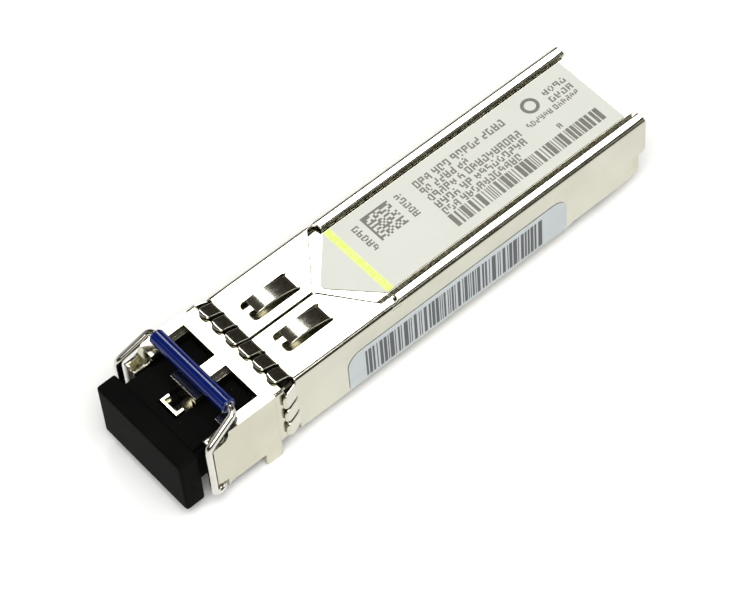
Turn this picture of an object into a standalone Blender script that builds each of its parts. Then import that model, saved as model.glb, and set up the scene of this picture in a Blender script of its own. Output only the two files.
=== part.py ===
"""Small pluggable optical transceiver with a wire bail, duplex port and dust plug.

Every size below is in millimetres, in the module's own frame: X across the width, Y along the
length with the host end at 0 and the port end negative, Z up from the underside of the shell.
Each node hangs from an empty that lifts the module onto its feet and centres it on the origin.
"""
import math

import bmesh
import bpy
from mathutils import Vector

MM = 0.001

# Outer envelope, set by the pluggable-module standard
SHELL_HALF_WIDTH = 6.7
SHELL_HEIGHT = 8.5
SHEET = 0.25
NOSE_HALF_WIDTH = 6.85
NOSE_TOP = 8.6
NOSE_FRONT = -56.4
NOSE_REAR = -48.6
FOOT_DEPTH = 1.43
GAP = 0.02

# Folded shell
BEND_RADIUS = 0.5
FINGER_ROOT = -46.0
FINGER_LENGTH = 2.25
FINGER_BULGE = 0.32
FINGER_SLOT = 0.34
FINGER_PITCH = 2.06
CORNER_SLOT_X = 6.2
SIDE_SLOTS_Z = (0.93, 3.39, 5.67)
SEAM_HALF_GAP = 0.13
NOTCH_APEX = -38.1
NOTCH_CORNER = -33.6
LEAF_WINDOW = (1.2, 3.75)
LEAF_EDGES = (1.48, 3.48)
LEAF_ROOT = -38.7
LEAF_WINDOW_FRONT = -44.4
LEAF_TIP = -43.75
LEAF_RISE = 0.75
RAIL_START = -32.6
RAIL_INNER_X = 5.25
RAIL_LIP_Z = 8.0
SKIRT_STEP_Y = -1.8
BELLY_END = -10.4
BOSS_HOLE_X = 1.5
BOSS_HOLE_Y = (-45.4, -43.0)
SKIRT_STEP_Z = SIDE_SLOTS_Z[1] + FINGER_SLOT / 2
RAIL_ROLL = 0.25
FLAP_STRAIGHT_END = -38.4
SHELL_ROWS = sorted({FINGER_ROOT, *BOSS_HOLE_Y, LEAF_WINDOW_FRONT, LEAF_ROOT, FLAP_STRAIGHT_END,
                     NOTCH_CORNER, RAIL_START, BELLY_END, SKIRT_STEP_Y, 0.0})

# Die-cast housing
TUB_HALF_WIDTH = 6.35
TUB_INNER = 5.75
TUB_BOTTOM = 0.3
TUB_TOP = 7.3
TUB_FRONT = -46.2
TUB_REAR = -0.6
TUB_FLOOR = 1.1
OPTICS_REAR = -42.6
BULKHEAD = (-49.2, -47.4)
NECK_HALF_WIDTH = 5.95
NECK_Z = (0.85, 7.6)
NOSE_BOTTOM = 0.45
NOSE_LIP = 0.05
POST_TOP = 7.2
ROOF_FRONT = -54.4
ROOF_UNDERSIDE = 7.9
PORT_PITCH = 6.25
PORT_HALF = 2.3
PORT_Z = (1.7, 6.25)
OPTICAL_AXIS_Z = 3.95
OPEN_PORT_X = (1.25, 5.2)
LATCH_CHANNEL_X = (1.9, 4.8)
LATCH_WINDOW_X = (0.8, 5.6)
LATCH_WINDOW_Y = (-53.4, -49.75)
POCKET_FLOOR = 5.2
CHANNEL_ROOF = 1.42
BOSS_TUNNEL_ROOF = 2.4
ARM_RECESS_TOP = 1.25

# Bail, delatch lever and their pivots
WIRE_RADIUS = 0.4
BAIL_PIVOT = (-55.75, 0.65)
PIVOT_CLEARANCE = 0.06
ARM_X = 6.9
ARM_FRONT = -57.0
ARM_SHOULDER_Z = 8.15
GRIP_X = 6.35
GRIP = (-53.05, 10.1)
SLEEVE_RADIUS = 0.85
SLEEVE_HALF_LENGTH = 5.5
CRANK_OFFSET = 0.6
CRANK_X = (1.1, 1.9)
LEVER_PIVOT = (-51.0, 0.6)
LEVER_HALF_WIDTH = 0.95
LEVER_PIN_RADIUS = 0.35
BOSS_SHOULDER = -45.0
BOSS_HALF_WIDTH = 1.3
BOSS_TIP_Z = -1.0

# Dust plug
PLUG_FRONT = -60.1
PLUG_HEAD_REAR = -57.8
PLUG_HALF_WIDTH = 6.4
PLUG_Z = (0.1, 7.55)
PRONG_END = -49.6

# Optics and electronics
BARREL_TIP = -52.9
BARREL_RADIUS = 1.45
FERRULE_BORE = 0.82
FLANGE_RADIUS = 2.0
CAN_RADIUS = 2.3
CAN_REAR = -38.9
BOARD_Z = (2.25, 3.25)
BOARD_FRONT = -37.5
BOARD_REAR = -3.2
BOARD_HALF_WIDTH = 5.6
BOARD_TAIL_HALF_WIDTH = 4.6
BOARD_TAIL_START = -12.0

# Top cover and labels
COVER_Z = (7.35, 7.85)
LAND_TOP = 8.32
LAND_HALF_WIDTH = 4.95
LABEL_THICKNESS = 0.08
LABEL_HALF_WIDTH = 4.7
LABEL_REAR = -1.2
LABEL_SHOULDER = -32.8
LABEL_TIP = -37.0
SIDE_LABEL_Y = (-39.75, -10.95)
SIDE_LABEL_Z = (0.55, 5.7)

SMOOTH_ANGLE = math.radians(35)


def clear_scene():
    """Remove whatever the file opened with."""
    for old in list(bpy.data.objects):
        bpy.data.objects.remove(old, do_unlink=True)


def finish(name, colour, roughness, metallic):
    """One Principled material."""
    material = bpy.data.materials.new(name)
    material.use_nodes = True
    shader = material.node_tree.nodes["Principled BSDF"]
    shader.inputs["Base Color"].default_value = (*colour, 1.0)
    shader.inputs["Roughness"].default_value = roughness
    shader.inputs["Metallic"].default_value = metallic
    return material


def add_object(name, mesh_or_bmesh, frame, material, pivot=None):
    """Place a mesh drawn in module millimetres under the frame, its origin on pivot (y, z)."""
    mesh = mesh_or_bmesh
    if isinstance(mesh_or_bmesh, bmesh.types.BMesh):
        bmesh.ops.recalc_face_normals(mesh_or_bmesh, faces=mesh_or_bmesh.faces)
        mesh = bpy.data.meshes.new(name)
        mesh_or_bmesh.to_mesh(mesh)
        mesh_or_bmesh.free()
    origin = Vector((0.0, *pivot)) if pivot else Vector((0.0, 0.0, 0.0))
    for vertex in mesh.vertices:
        vertex.co = (vertex.co - origin) * MM
    if material:
        mesh.materials.append(material)
    mesh.shade_smooth()
    mesh.set_sharp_from_angle(angle=SMOOTH_ANGLE)
    thing = bpy.data.objects.new(name, mesh)
    bpy.context.scene.collection.objects.link(thing)
    thing.parent = frame
    thing.location = origin * MM
    return thing


def extrude(outline, axis, low, high):
    """Closed prism: outline is a list of 2-D points on the plane across axis."""
    shape = bmesh.new()
    rings = []
    for level in (low, high):
        ring = []
        for u, v in outline:
            point = {"X": (level, u, v), "Y": (u, level, v), "Z": (u, v, level)}[axis]
            ring.append(shape.verts.new(point))
        rings.append(ring)
    count = len(outline)
    for k in range(count):
        after = (k + 1) % count
        shape.faces.new((rings[0][k], rings[0][after], rings[1][after], rings[1][k]))
    shape.faces.new(rings[0])
    shape.faces.new(rings[1])
    return shape


def block(x, y, z):
    """Rectangular block between three pairs of limits."""
    return extrude([(x[0], y[0]), (x[1], y[0]), (x[1], y[1]), (x[0], y[1])], "Z", *z)


def circle(centre, radius, sides):
    """Points round a circle."""
    steps = [2 * math.pi * k / sides for k in range(sides)]
    return [(centre[0] + radius * math.cos(a), centre[1] + radius * math.sin(a)) for a in steps]


def rounded_rectangle(u, v, radius, steps=4):
    """Outline of a rectangle with round corners, between two pairs of limits."""
    corners = [(u[1], v[1], 0), (u[0], v[1], 90), (u[0], v[0], 180), (u[1], v[0], 270)]
    outline = []
    for corner_u, corner_v, start in corners:
        centre_u = corner_u - math.copysign(radius, corner_u - sum(u) / 2)
        centre_v = corner_v - math.copysign(radius, corner_v - sum(v) / 2)
        for k in range(steps + 1):
            angle = math.radians(start + 90 * k / steps)
            outline.append((centre_u + radius * math.cos(angle), centre_v + radius * math.sin(angle)))
    return outline


def turned(profile, centre_x, centre_z, sides=24):
    """Ring body turned about an axis along Y; profile is a closed loop of (y, radius)."""
    shape = bmesh.new()
    rings = []
    for k in range(sides):
        angle = 2 * math.pi * k / sides
        rings.append([shape.verts.new((centre_x + r * math.cos(angle), y, centre_z + r * math.sin(angle)))
                      for y, r in profile])
    for k in range(sides):
        ring, after = rings[k], rings[(k + 1) % sides]
        for j in range(len(profile)):
            following = (j + 1) % len(profile)
            shape.faces.new((ring[j], ring[following], after[following], after[j]))
    return shape


def boolean(target, tool, operation):
    """Cut or join one object with another, and apply it."""
    modifier = target.modifiers.new(operation, "BOOLEAN")
    modifier.operation = operation
    modifier.solver = "EXACT"
    modifier.object = tool
    bpy.context.view_layer.update()
    depsgraph = bpy.context.evaluated_depsgraph_get()
    result = bpy.data.meshes.new_from_object(target.evaluated_get(depsgraph))
    target.modifiers.remove(modifier)
    target.data = result
    bpy.data.objects.remove(tool, do_unlink=True)


def cut(target, shape, frame):
    """Take a shape out of target."""
    boolean(target, add_object("cutter", shape, frame, None), "DIFFERENCE")


def join(target, shape, frame):
    """Fuse a shape onto target, as one piece of material."""
    boolean(target, add_object("added", shape, frame, None), "UNION")


def both(limits):
    """The same pair of X limits on the right side and mirrored on the left."""
    return ((limits[0], limits[1]), (-limits[1], -limits[0]))


# ---------------------------------------------------------------- folded shell

class Sheet:
    """Thin folded sheet: cells of the middle surface, each corner with its outward normal."""

    def __init__(self):
        self.points = {}
        self.cells = []

    def corner(self, place, normal):
        """Key of one corner, shared by every cell that meets there."""
        key = tuple(round(value, 5) for value in place)
        self.points.setdefault(key, (Vector(place), Vector(normal).normalized()))
        return key

    def strip(self, rows):
        """Cells between neighbouring rows, each row a list of (place, normal)."""
        keys = [[self.corner(*corner) for corner in row] for row in rows]
        for near, far in zip(keys, keys[1:]):
            for k in range(len(near) - 1):
                self.cells.append((near[k], near[k + 1], far[k + 1], far[k]))

    def solid(self, thickness):
        """Closed body of the given thickness."""
        shape = bmesh.new()
        sides = []
        for offset in (thickness / 2, -thickness / 2):
            sides.append({key: shape.verts.new(place + normal * offset)
                          for key, (place, normal) in self.points.items()})
        outer, inner = sides
        uses = {}
        for cell in self.cells:
            shape.faces.new([outer[key] for key in cell])
            shape.faces.new([inner[key] for key in reversed(cell)])
            for k in range(4):
                edge = (cell[k], cell[(k + 1) % 4])
                uses.setdefault(frozenset(edge), []).append(edge)
        for edges in uses.values():
            if len(edges) == 1:
                start, end = edges[0]
                shape.faces.new((outer[end], outer[start], inner[start], inner[end]))
        return shape


MID_X = SHELL_HALF_WIDTH - SHEET / 2
MID_TOP = SHELL_HEIGHT - SHEET / 2
MID_BOTTOM = SHEET / 2
MID_BEND = BEND_RADIUS - SHEET / 2


def bend(centre_x, centre_z, start, end, side, steps=3):
    """Points and normals round a bend about an axis along Y, mirrored to one side."""
    column = []
    for k in range(steps + 1):
        angle = math.radians(start + (end - start) * k / steps)
        x, z = math.cos(angle), math.sin(angle)
        column.append(((side * (centre_x + MID_BEND * x), centre_z + MID_BEND * z), (side * x, z)))
    return column


def slot_edges(centre):
    """The two edges of a slot between fingers."""
    return centre - FINGER_SLOT / 2, centre + FINGER_SLOT / 2


def belly_stations():
    """X stations across half of the bottom, centre line first."""
    stations = [0.0, BOSS_HOLE_X, CORNER_SLOT_X - FINGER_SLOT, MID_X - MID_BEND]
    for k in (1, 2):
        stations += slot_edges(k * FINGER_PITCH)
    return sorted(stations)


def flap_stations():
    """X stations across half of the top, from the seam to the bend."""
    stations = [SEAM_HALF_GAP, *LEAF_WINDOW, *LEAF_EDGES, CORNER_SLOT_X - FINGER_SLOT, MID_X - MID_BEND]
    for k in (1, 2):
        stations += slot_edges(k * FINGER_PITCH)
    return sorted(stations)


def wall_stations():
    """Z stations up the side between the two bends."""
    stations = [MID_BOTTOM + MID_BEND, MID_TOP - MID_BEND]
    for height in SIDE_SLOTS_Z:
        stations += slot_edges(height)
    return sorted(stations)


def at_y(column, y):
    """Place a cross-section of ((x, z), (nx, nz)) at the station y."""
    return [((x, y, z), (nx, 0.0, nz)) for (x, z), (nx, nz) in column]


def add_rows(sheet, column, rows, skip=None):
    """Sheet along the whole of a cross-section, leaving out one stretch where skip says so."""
    for near, far in zip(rows, rows[1:]):
        if near != skip:
            sheet.strip([at_y(column, near), at_y(column, far)])


def finger_lift(t):
    """How far a contact finger stands off its wall at a distance t from its root."""
    return FINGER_BULGE * math.sin(math.pi * t / (0.69 * FINGER_LENGTH))


def add_finger(sheet, edges, normal, steps=6):
    """One contact finger: it bulges outwards from its root and curls in at its tip."""
    rows = []
    for k in range(steps + 1):
        t = FINGER_LENGTH * k / steps
        lift = finger_lift(t)
        slope = (finger_lift(t + 0.01) - lift) / 0.01 if k else 0.0
        lean = (normal[0], slope, normal[1])
        rows.append([((x + normal[0] * lift, FINGER_ROOT - t, z + normal[1] * lift), lean)
                     for x, z in edges])
    sheet.strip(rows)


def between(stations, low, high):
    """The stations from low to high, ends included."""
    return [value for value in stations if low - 1e-6 <= value <= high + 1e-6]


def add_fingers(sheet, side):
    """Three fingers on the top, three on the side and two on the bottom of one half."""
    first, second = slot_edges(FINGER_PITCH), slot_edges(2 * FINGER_PITCH)
    corner = CORNER_SLOT_X - FINGER_SLOT
    for low, high in ((SEAM_HALF_GAP, first[0]), (first[1], second[0]), (second[1], corner)):
        columns = between(flap_stations(), low, high)
        add_finger(sheet, [(side * x, MID_TOP) for x in columns], (0, 1))
    for low, high in ((first[1], second[0]), (second[1], corner)):
        columns = between(belly_stations(), low, high)
        add_finger(sheet, [(side * x, MID_BOTTOM) for x in columns], (0, -1))
    lows = [slot_edges(height)[1] for height in SIDE_SLOTS_Z]
    highs = [slot_edges(height)[0] for height in SIDE_SLOTS_Z[1:]] + [MID_TOP - MID_BEND]
    for low, high in zip(lows, highs):
        columns = between(wall_stations(), low, high)
        add_finger(sheet, [(side * MID_X, z) for z in columns], (side, 0))


def notch_y(x):
    """Rear edge of the top flap: a vee with its point on the seam."""
    return NOTCH_APEX + (NOTCH_CORNER - NOTCH_APEX) * x / (MID_X - MID_BEND)


def leaf_lift(t):
    """Rise of a grounding leaf above the top; t runs from 0 at its root to 1 at its tip."""
    crest = 0.62
    if t < crest:
        return LEAF_RISE * math.sin(math.pi / 2 * t / crest)
    return LEAF_RISE * math.cos(math.pi / 2 * (t - crest) / (0.75 * (1 - crest)))


def add_flap(sheet, side):
    """Half of the top at the port end, with its window and its bowed grounding leaf."""
    stations = flap_stations()
    straight = [y for y in SHELL_ROWS if y <= FLAP_STRAIGHT_END]
    for left, right in zip(stations, stations[1:]):
        column = [((side * x, MID_TOP), (0, 1)) for x in (left, right)]
        in_window = LEAF_WINDOW[0] <= left < LEAF_WINDOW[1]
        for near, far in zip(straight, straight[1:]):
            if in_window and LEAF_WINDOW_FRONT <= near < LEAF_ROOT:
                continue
            sheet.strip([at_y(column, near), at_y(column, far)])
        edge = [((side * x, notch_y(x), MID_TOP), (0, 0, 1)) for x in (left, right)]
        sheet.strip([at_y(column, FLAP_STRAIGHT_END), edge])
    steps = 9
    rows = []
    for k in range(steps + 1):
        t = k / steps
        lift = leaf_lift(t)
        slope = (leaf_lift(t + 0.001) - lift) / (0.001 * (LEAF_ROOT - LEAF_TIP)) if k else 0.0
        y = LEAF_ROOT + (LEAF_TIP - LEAF_ROOT) * t
        rows.append([((side * x, y, MID_TOP + lift), (0, slope, 1))
                     for x in between(stations, *LEAF_EDGES)])
    sheet.strip(rows)


def add_rail(sheet, side):
    """Half of the top at the host end: a rail whose inner edge rolls down beside the cover."""
    bend_x = RAIL_INNER_X + SHEET / 2 + RAIL_ROLL
    column = [((side * (MID_X - MID_BEND), MID_TOP), (0, 1))]
    for k in range(4):
        angle = math.pi / 2 * (1 + k / 3)
        x, z = math.cos(angle), math.sin(angle)
        column.append(((side * (bend_x + RAIL_ROLL * x), MID_TOP - RAIL_ROLL + RAIL_ROLL * z), (side * x, z)))
    column.append(((side * (bend_x - RAIL_ROLL), RAIL_LIP_Z), (-side, 0)))
    add_rows(sheet, column, [y for y in SHELL_ROWS if y >= RAIL_START])


def outer_shell(frame, material):
    """One folded sheet: belly, two walls, two top flaps that meet at a seam, two rails at the
    host end, a ring of contact fingers at the port end and two grounding leaves."""
    sheet = Sheet()
    for side in (1, -1):
        belly = [((side * x, MID_BOTTOM), (0, -1)) for x in belly_stations()]
        low_bend = bend(MID_X - MID_BEND, MID_BOTTOM + MID_BEND, -90, 0, side)
        wall = [((side * MID_X, z), (side, 0)) for z in wall_stations()]
        high_bend = bend(MID_X - MID_BEND, MID_TOP - MID_BEND, 0, 90, side)
        step = wall_stations().index(SKIRT_STEP_Z)
        under_belly = [y for y in SHELL_ROWS if y <= BELLY_END]
        under_skirt = [y for y in SHELL_ROWS if y <= SKIRT_STEP_Y]
        ahead_of_hole = [y for y in under_belly if y <= BOSS_HOLE_Y[0]]
        add_rows(sheet, belly[:2], ahead_of_hole)
        add_rows(sheet, belly[:2], [y for y in under_belly if y >= BOSS_HOLE_Y[1]])
        add_rows(sheet, belly[1:], under_belly)
        add_rows(sheet, low_bend, under_belly)
        add_rows(sheet, wall[:step + 1], under_skirt)
        add_rows(sheet, wall[step:], SHELL_ROWS)
        add_rows(sheet, high_bend, SHELL_ROWS)
        add_flap(sheet, side)
        add_rail(sheet, side)
        add_fingers(sheet, side)
    return add_object("outer_shell", sheet.solid(SHEET), frame, material)


# ---------------------------------------------------------------- die-cast housing and its cover

def base_housing(frame, material):
    """Nose with two ports, neck, and a tub that carries the optics and the board."""
    profile = [(NOSE_FRONT, NOSE_LIP), (-55.1, NOSE_LIP), (-54.9, NOSE_BOTTOM), (NOSE_REAR, NOSE_BOTTOM),
               (NOSE_REAR, NOSE_TOP), (ROOF_FRONT, NOSE_TOP), (-54.46, 8.0), (-54.7, 7.55),
               (-55.1, 7.28), (-55.6, POST_TOP), (NOSE_FRONT, POST_TOP)]
    nose = extrude(profile, "X", -NOSE_HALF_WIDTH, NOSE_HALF_WIDTH)
    housing = add_object("base_housing", nose, frame, material)
    neck = block((-NECK_HALF_WIDTH, NECK_HALF_WIDTH), (NOSE_REAR - 0.5, TUB_FRONT + 0.5), NECK_Z)
    join(housing, neck, frame)
    tub = block((-TUB_HALF_WIDTH, TUB_HALF_WIDTH), (TUB_FRONT, TUB_REAR), (TUB_BOTTOM, TUB_TOP))
    join(housing, tub, frame)
    foot = rounded_rectangle((-50.6, NOSE_REAR), (-FOOT_DEPTH, NOSE_BOTTOM + 0.6), 0.45, 3)
    for low, high in both((5.2, NOSE_HALF_WIDTH)):
        join(housing, extrude(foot, "X", low, high), frame)
    cut_tub(housing, frame)
    cut_ports(housing, frame)
    cut_delatch(housing, frame)
    return housing


def cut_tub(housing, frame):
    """Hollow the tub, seat the two optical barrels and open the host end underneath."""
    inner = (-TUB_INNER, TUB_INNER)
    cut(housing, block(inner, (OPTICS_REAR, 1.0), (TUB_FLOOR, NOSE_TOP)), frame)
    cut(housing, block(inner, (BULKHEAD[1], OPTICS_REAR + 0.2), (OPTICAL_AXIS_Z, NOSE_TOP)), frame)
    cut(housing, block(inner, (BELLY_END, 1.0), (-1.0, TUB_FLOOR + 0.1)), frame)
    for x in (-PORT_PITCH / 2, PORT_PITCH / 2):
        seat = extrude(circle((x, OPTICAL_AXIS_Z), FLANGE_RADIUS + 0.1, 24), "Y", BULKHEAD[1],
                       OPTICS_REAR + 0.1)
        cut(housing, seat, frame)


def cut_ports(housing, frame):
    """Two plug cavities with latch channels and windows in the roof, and the bores behind."""
    deep = (BULKHEAD[0], NOSE_FRONT - 1)
    front = (NOSE_FRONT - 1, ROOF_FRONT - GAP)
    centre = PORT_PITCH / 2
    for side, port in zip((1, -1), both((centre - PORT_HALF, centre + PORT_HALF))):
        cut(housing, block(port, (deep[1], deep[0]), PORT_Z), frame)
        for x, y, z in ((OPEN_PORT_X, (deep[1], deep[0]), (PORT_Z[1] - 0.1, ROOF_UNDERSIDE)),
                        (OPEN_PORT_X, front, (PORT_Z[1] - 0.1, NOSE_TOP + 1)),
                        (LATCH_CHANNEL_X, (ROOF_FRONT - 1, LATCH_WINDOW_Y[0] + 0.1),
                         (ROOF_UNDERSIDE - 0.1, NOSE_TOP + 1)),
                        (LATCH_WINDOW_X, LATCH_WINDOW_Y, (ROOF_UNDERSIDE - 0.1, NOSE_TOP + 1)),
                        ((5.5, 6.5), (NOSE_FRONT + 0.3, ROOF_FRONT - 0.35), (POCKET_FLOOR, NOSE_TOP + 1))):
            low, high = sorted((side * x[0], side * x[1]))
            cut(housing, block((low, high), y, z), frame)
        bore = extrude(circle((side * centre, OPTICAL_AXIS_Z), BARREL_RADIUS + 0.05, 24), "Y",
                       BULKHEAD[0] - 0.5, BULKHEAD[1] + 0.5)
        cut(housing, bore, frame)
    cut(housing, block((-0.95, 0.95), (NOSE_FRONT + 0.3, ROOF_FRONT - GAP), (POCKET_FLOOR, NOSE_TOP + 1)), frame)
    cut(housing, block((-1.3, 1.3), (-55.35, ROOF_FRONT - GAP), (POCKET_FLOOR, NOSE_TOP + 1)), frame)
    cut(housing, block((-5.3, 5.3), (NOSE_FRONT - 1, ROOF_FRONT - GAP), (POST_TOP, NOSE_TOP + 1)), frame)


def cut_delatch(housing, frame):
    """Channel for the lever, tunnel for its boss, bores for its pin and for the bail's ends."""
    channel = (LEVER_HALF_WIDTH + 0.2) * Vector((-1, 1))
    cut(housing, block(channel, (NOSE_FRONT - 1, NOSE_REAR + 0.05), (-2, CHANNEL_ROOF)), frame)
    tunnel = (BOSS_HALF_WIDTH + 0.12) * Vector((-1, 1))
    cut(housing, block(tunnel, (NOSE_REAR, OPTICS_REAR - 0.2), (-2, BOSS_TUNNEL_ROOF)), frame)
    cut(housing, block((-5.2, 5.2), (NOSE_FRONT - 1, -54.7), (-2, 1.45)), frame)
    for low, high in both((TUB_HALF_WIDTH, NOSE_HALF_WIDTH + 1)):
        cut(housing, block((low, high), (NOSE_FRONT - 1, -55.2), (-2, ARM_RECESS_TOP)), frame)
    bail_bore = circle(BAIL_PIVOT, WIRE_RADIUS + PIVOT_CLEARANCE, 24)
    cut(housing, extrude(bail_bore, "X", -8, 8), frame)
    pin_bore = circle(LEVER_PIVOT, LEVER_PIN_RADIUS + GAP, 20)
    cut(housing, extrude(pin_bore, "X", -2.2, 2.2), frame)


def top_cover(frame, material):
    """Lid of the tub; its raised land, pointed at the port end, carries the label."""
    lid = block((-TUB_HALF_WIDTH, TUB_HALF_WIDTH), (TUB_FRONT + 0.6, -0.3), COVER_Z)
    cover = add_object("top_cover", lid, frame, material)
    shoulder = notch_y(LAND_HALF_WIDTH) + 0.2
    land = [(-LAND_HALF_WIDTH, -0.25), (LAND_HALF_WIDTH, -0.25), (LAND_HALF_WIDTH, shoulder),
            (0.0, NOTCH_APEX + 0.2), (-LAND_HALF_WIDTH, shoulder)]
    join(cover, extrude(land, "Z", COVER_Z[1] - 0.2, LAND_TOP), frame)
    return cover


# ---------------------------------------------------------------- bail, lever and plug

def rounded_path(points, radii, steps=6):
    """Polyline through points with each inner corner turned into an arc of its radius."""
    points = [Vector(point) for point in points]
    path = [points[0]]
    for before, here, after, radius in zip(points, points[1:], points[2:], radii):
        back, ahead = (before - here).normalized(), (after - here).normalized()
        half = back.angle(ahead) / 2
        centre = here + (back + ahead).normalized() * radius / math.sin(half)
        start = (here + back * radius / math.tan(half) - centre).normalized()
        end = (here + ahead * radius / math.tan(half) - centre).normalized()
        for k in range(steps + 1):
            path.append(centre + radius * start.slerp(end, k / steps))
    return path + [points[-1]]


def wire_route():
    """Centre line of the bail, from its butt joint under the grip round to the same joint."""
    grip_y, grip_z = GRIP
    pivot_y, pivot_z = BAIL_PIVOT
    half = [(0.1, grip_y, grip_z), (GRIP_X, grip_y, grip_z), (ARM_X, ARM_FRONT, ARM_SHOULDER_Z),
            (ARM_X, ARM_FRONT, pivot_z), (ARM_X, pivot_y, pivot_z), (CRANK_X[1], pivot_y, pivot_z),
            (CRANK_X[0], pivot_y - CRANK_OFFSET, pivot_z), (0.0, pivot_y - CRANK_OFFSET, pivot_z)]
    right = rounded_path(half, [0.7, 1.0, 0.6, 0.55, 0.5, 0.5])
    left = [Vector((-x, y, z)) for x, y, z in reversed(right[:-1])]
    return right + left


def bail_wire(frame, material):
    """Bent spring wire: grip bar, two arms, and an axle with a crank that works the lever."""
    pivot = Vector((0.0, *BAIL_PIVOT))
    curve = bpy.data.curves.new("bail_wire", "CURVE")
    curve.dimensions = "3D"
    curve.bevel_depth = WIRE_RADIUS * MM
    curve.bevel_resolution = 3
    curve.use_fill_caps = True
    curve.render_resolution_u = 0
    route = wire_route()
    spline = curve.splines.new("POLY")
    spline.points.add(len(route) - 1)
    for point, place in zip(spline.points, route):
        point.co = (*((place - pivot) * MM), 1.0)
    curve.materials.append(material)
    wire = bpy.data.objects.new("bail_wire", curve)
    bpy.context.scene.collection.objects.link(wire)
    wire.parent = frame
    wire.location = pivot * MM
    return wire


def bail_sleeve(frame, material):
    """Moulded tube on the grip bar."""
    inner = WIRE_RADIUS + 0.05
    outer, end = SLEEVE_RADIUS, SLEEVE_HALF_LENGTH
    section = [(-end, inner), (-end, outer - 0.1), (0.1 - end, outer), (end - 0.1, outer),
               (end, outer - 0.1), (end, inner)]
    shape = turned(section, *GRIP, sides=20)
    for vertex in shape.verts:
        x, y, z = vertex.co
        vertex.co = (y, x, z)
    return add_object("bail_sleeve", shape, frame, material, BAIL_PIVOT)


def latch_lever(frame, material):
    """Rocker: the crank presses its front pad down, which draws its locking boss in."""
    pivot_y, pivot_z = LEVER_PIVOT
    outline = [(-56.9, -0.3), (-56.9, 0.13), (-53.6, 0.13), (pivot_y - 0.75, 0.9), (pivot_y, 1.28),
               (pivot_y + 0.7, 0.95), (-43.45, 0.95), (-43.45, 0.35), (pivot_y + 1.2, 0.35),
               (pivot_y + 0.5, -0.05), (pivot_y - 0.5, -0.1), (-53.3, -0.3)]
    width = LEVER_HALF_WIDTH
    lever = add_object("latch_lever", extrude(outline, "X", -width, width), frame, material)
    entry = BOSS_HALF_WIDTH
    plan = [(-entry, BOSS_SHOULDER), (entry, BOSS_SHOULDER), (entry, BOSS_SHOULDER + 0.3),
            (0.25, BOSS_SHOULDER + 1.5), (-0.25, BOSS_SHOULDER + 1.5), (-entry, BOSS_SHOULDER + 0.3)]
    join(lever, extrude(plan, "Z", BOSS_TIP_Z, 0.6), frame)
    ramp = [(BOSS_SHOULDER + 0.7, BOSS_TIP_Z - 0.5), (-43.0, BOSS_TIP_Z - 0.5), (-43.0, 0.1)]
    cut(lever, extrude(ramp, "X", -2, 2), frame)
    cut(lever, extrude(circle(LEVER_PIVOT, LEVER_PIN_RADIUS + 0.05, 20), "X", -2, 2), frame)
    move_origin(lever, LEVER_PIVOT)
    return lever


def move_origin(thing, pivot):
    """Put an object's origin on its joint's axis without moving its mesh."""
    origin = Vector((0.0, *pivot)) * MM
    for vertex in thing.data.vertices:
        vertex.co -= origin
    thing.location = origin


def lever_pin(frame, material):
    """Short pin that the lever rocks on, held in the nose on both sides."""
    return add_object("lever_pin", extrude(circle(LEVER_PIVOT, LEVER_PIN_RADIUS, 20), "X", -2.1, 2.1),
                      frame, material)


def lever_spring(frame, material):
    """Small coil spring between the roof of the boss tunnel and the lever."""
    turns, sides, around = 3, 12, 6
    radius, wire, low, high = 0.75, 0.12, 1.12, 2.24
    shape = bmesh.new()
    rings = []
    for k in range(turns * sides + 1):
        angle = 2 * math.pi * k / sides
        out = Vector((math.cos(angle), math.sin(angle), 0))
        centre = out * radius + Vector((0, -46.2, low + (high - low) * k / (turns * sides)))
        rings.append([shape.verts.new(centre + wire * (math.cos(a) * out + Vector((0, 0, math.sin(a)))))
                      for a in (2 * math.pi * j / around for j in range(around))])
    for ring, after in zip(rings, rings[1:]):
        for j in range(around):
            shape.faces.new((ring[j], ring[(j + 1) % around], after[(j + 1) % around], after[j]))
    shape.faces.new(rings[0])
    shape.faces.new(rings[-1])
    return add_object("lever_spring", shape, frame, material)


def dust_plug(frame, material):
    """Moulded plug: a head with eased edges and two prongs hollowed for the port barrels."""
    head = block((-PLUG_HALF_WIDTH, PLUG_HALF_WIDTH), (PLUG_FRONT, PLUG_HEAD_REAR), PLUG_Z)
    bmesh.ops.bevel(head, geom=list(head.edges), offset=0.3, segments=2, profile=0.5, affect="EDGES")
    plug = add_object("dust_plug", head, frame, material)
    centre = PORT_PITCH / 2
    for side in (1, -1):
        for x, y, z in (((centre - 2.15, centre + 2.15), (PLUG_HEAD_REAR - 0.5, PRONG_END), (1.85, 6.1)),
                        ((1.4, 5.05), (PLUG_HEAD_REAR - 0.5, ROOF_FRONT - 0.2), (6.0, 7.0)),
                        ((1.4, 5.05), (PLUG_HEAD_REAR - 0.5, PRONG_END), (6.0, 6.7))):
            low, high = sorted((side * x[0], side * x[1]))
            join(plug, block((low, high), y, z), frame)
        bore = extrude(circle((side * centre, OPTICAL_AXIS_Z), BARREL_RADIUS + 0.15, 20), "Y",
                       BARREL_TIP - 0.3, PRONG_END + 1)
        cut(plug, bore, frame)
    join(plug, block((-5.0, 5.0), (PLUG_HEAD_REAR - 0.4, NOSE_FRONT - 0.2), (1.95, 6.95)), frame)
    return plug


# ---------------------------------------------------------------- optics and electronics

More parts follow.
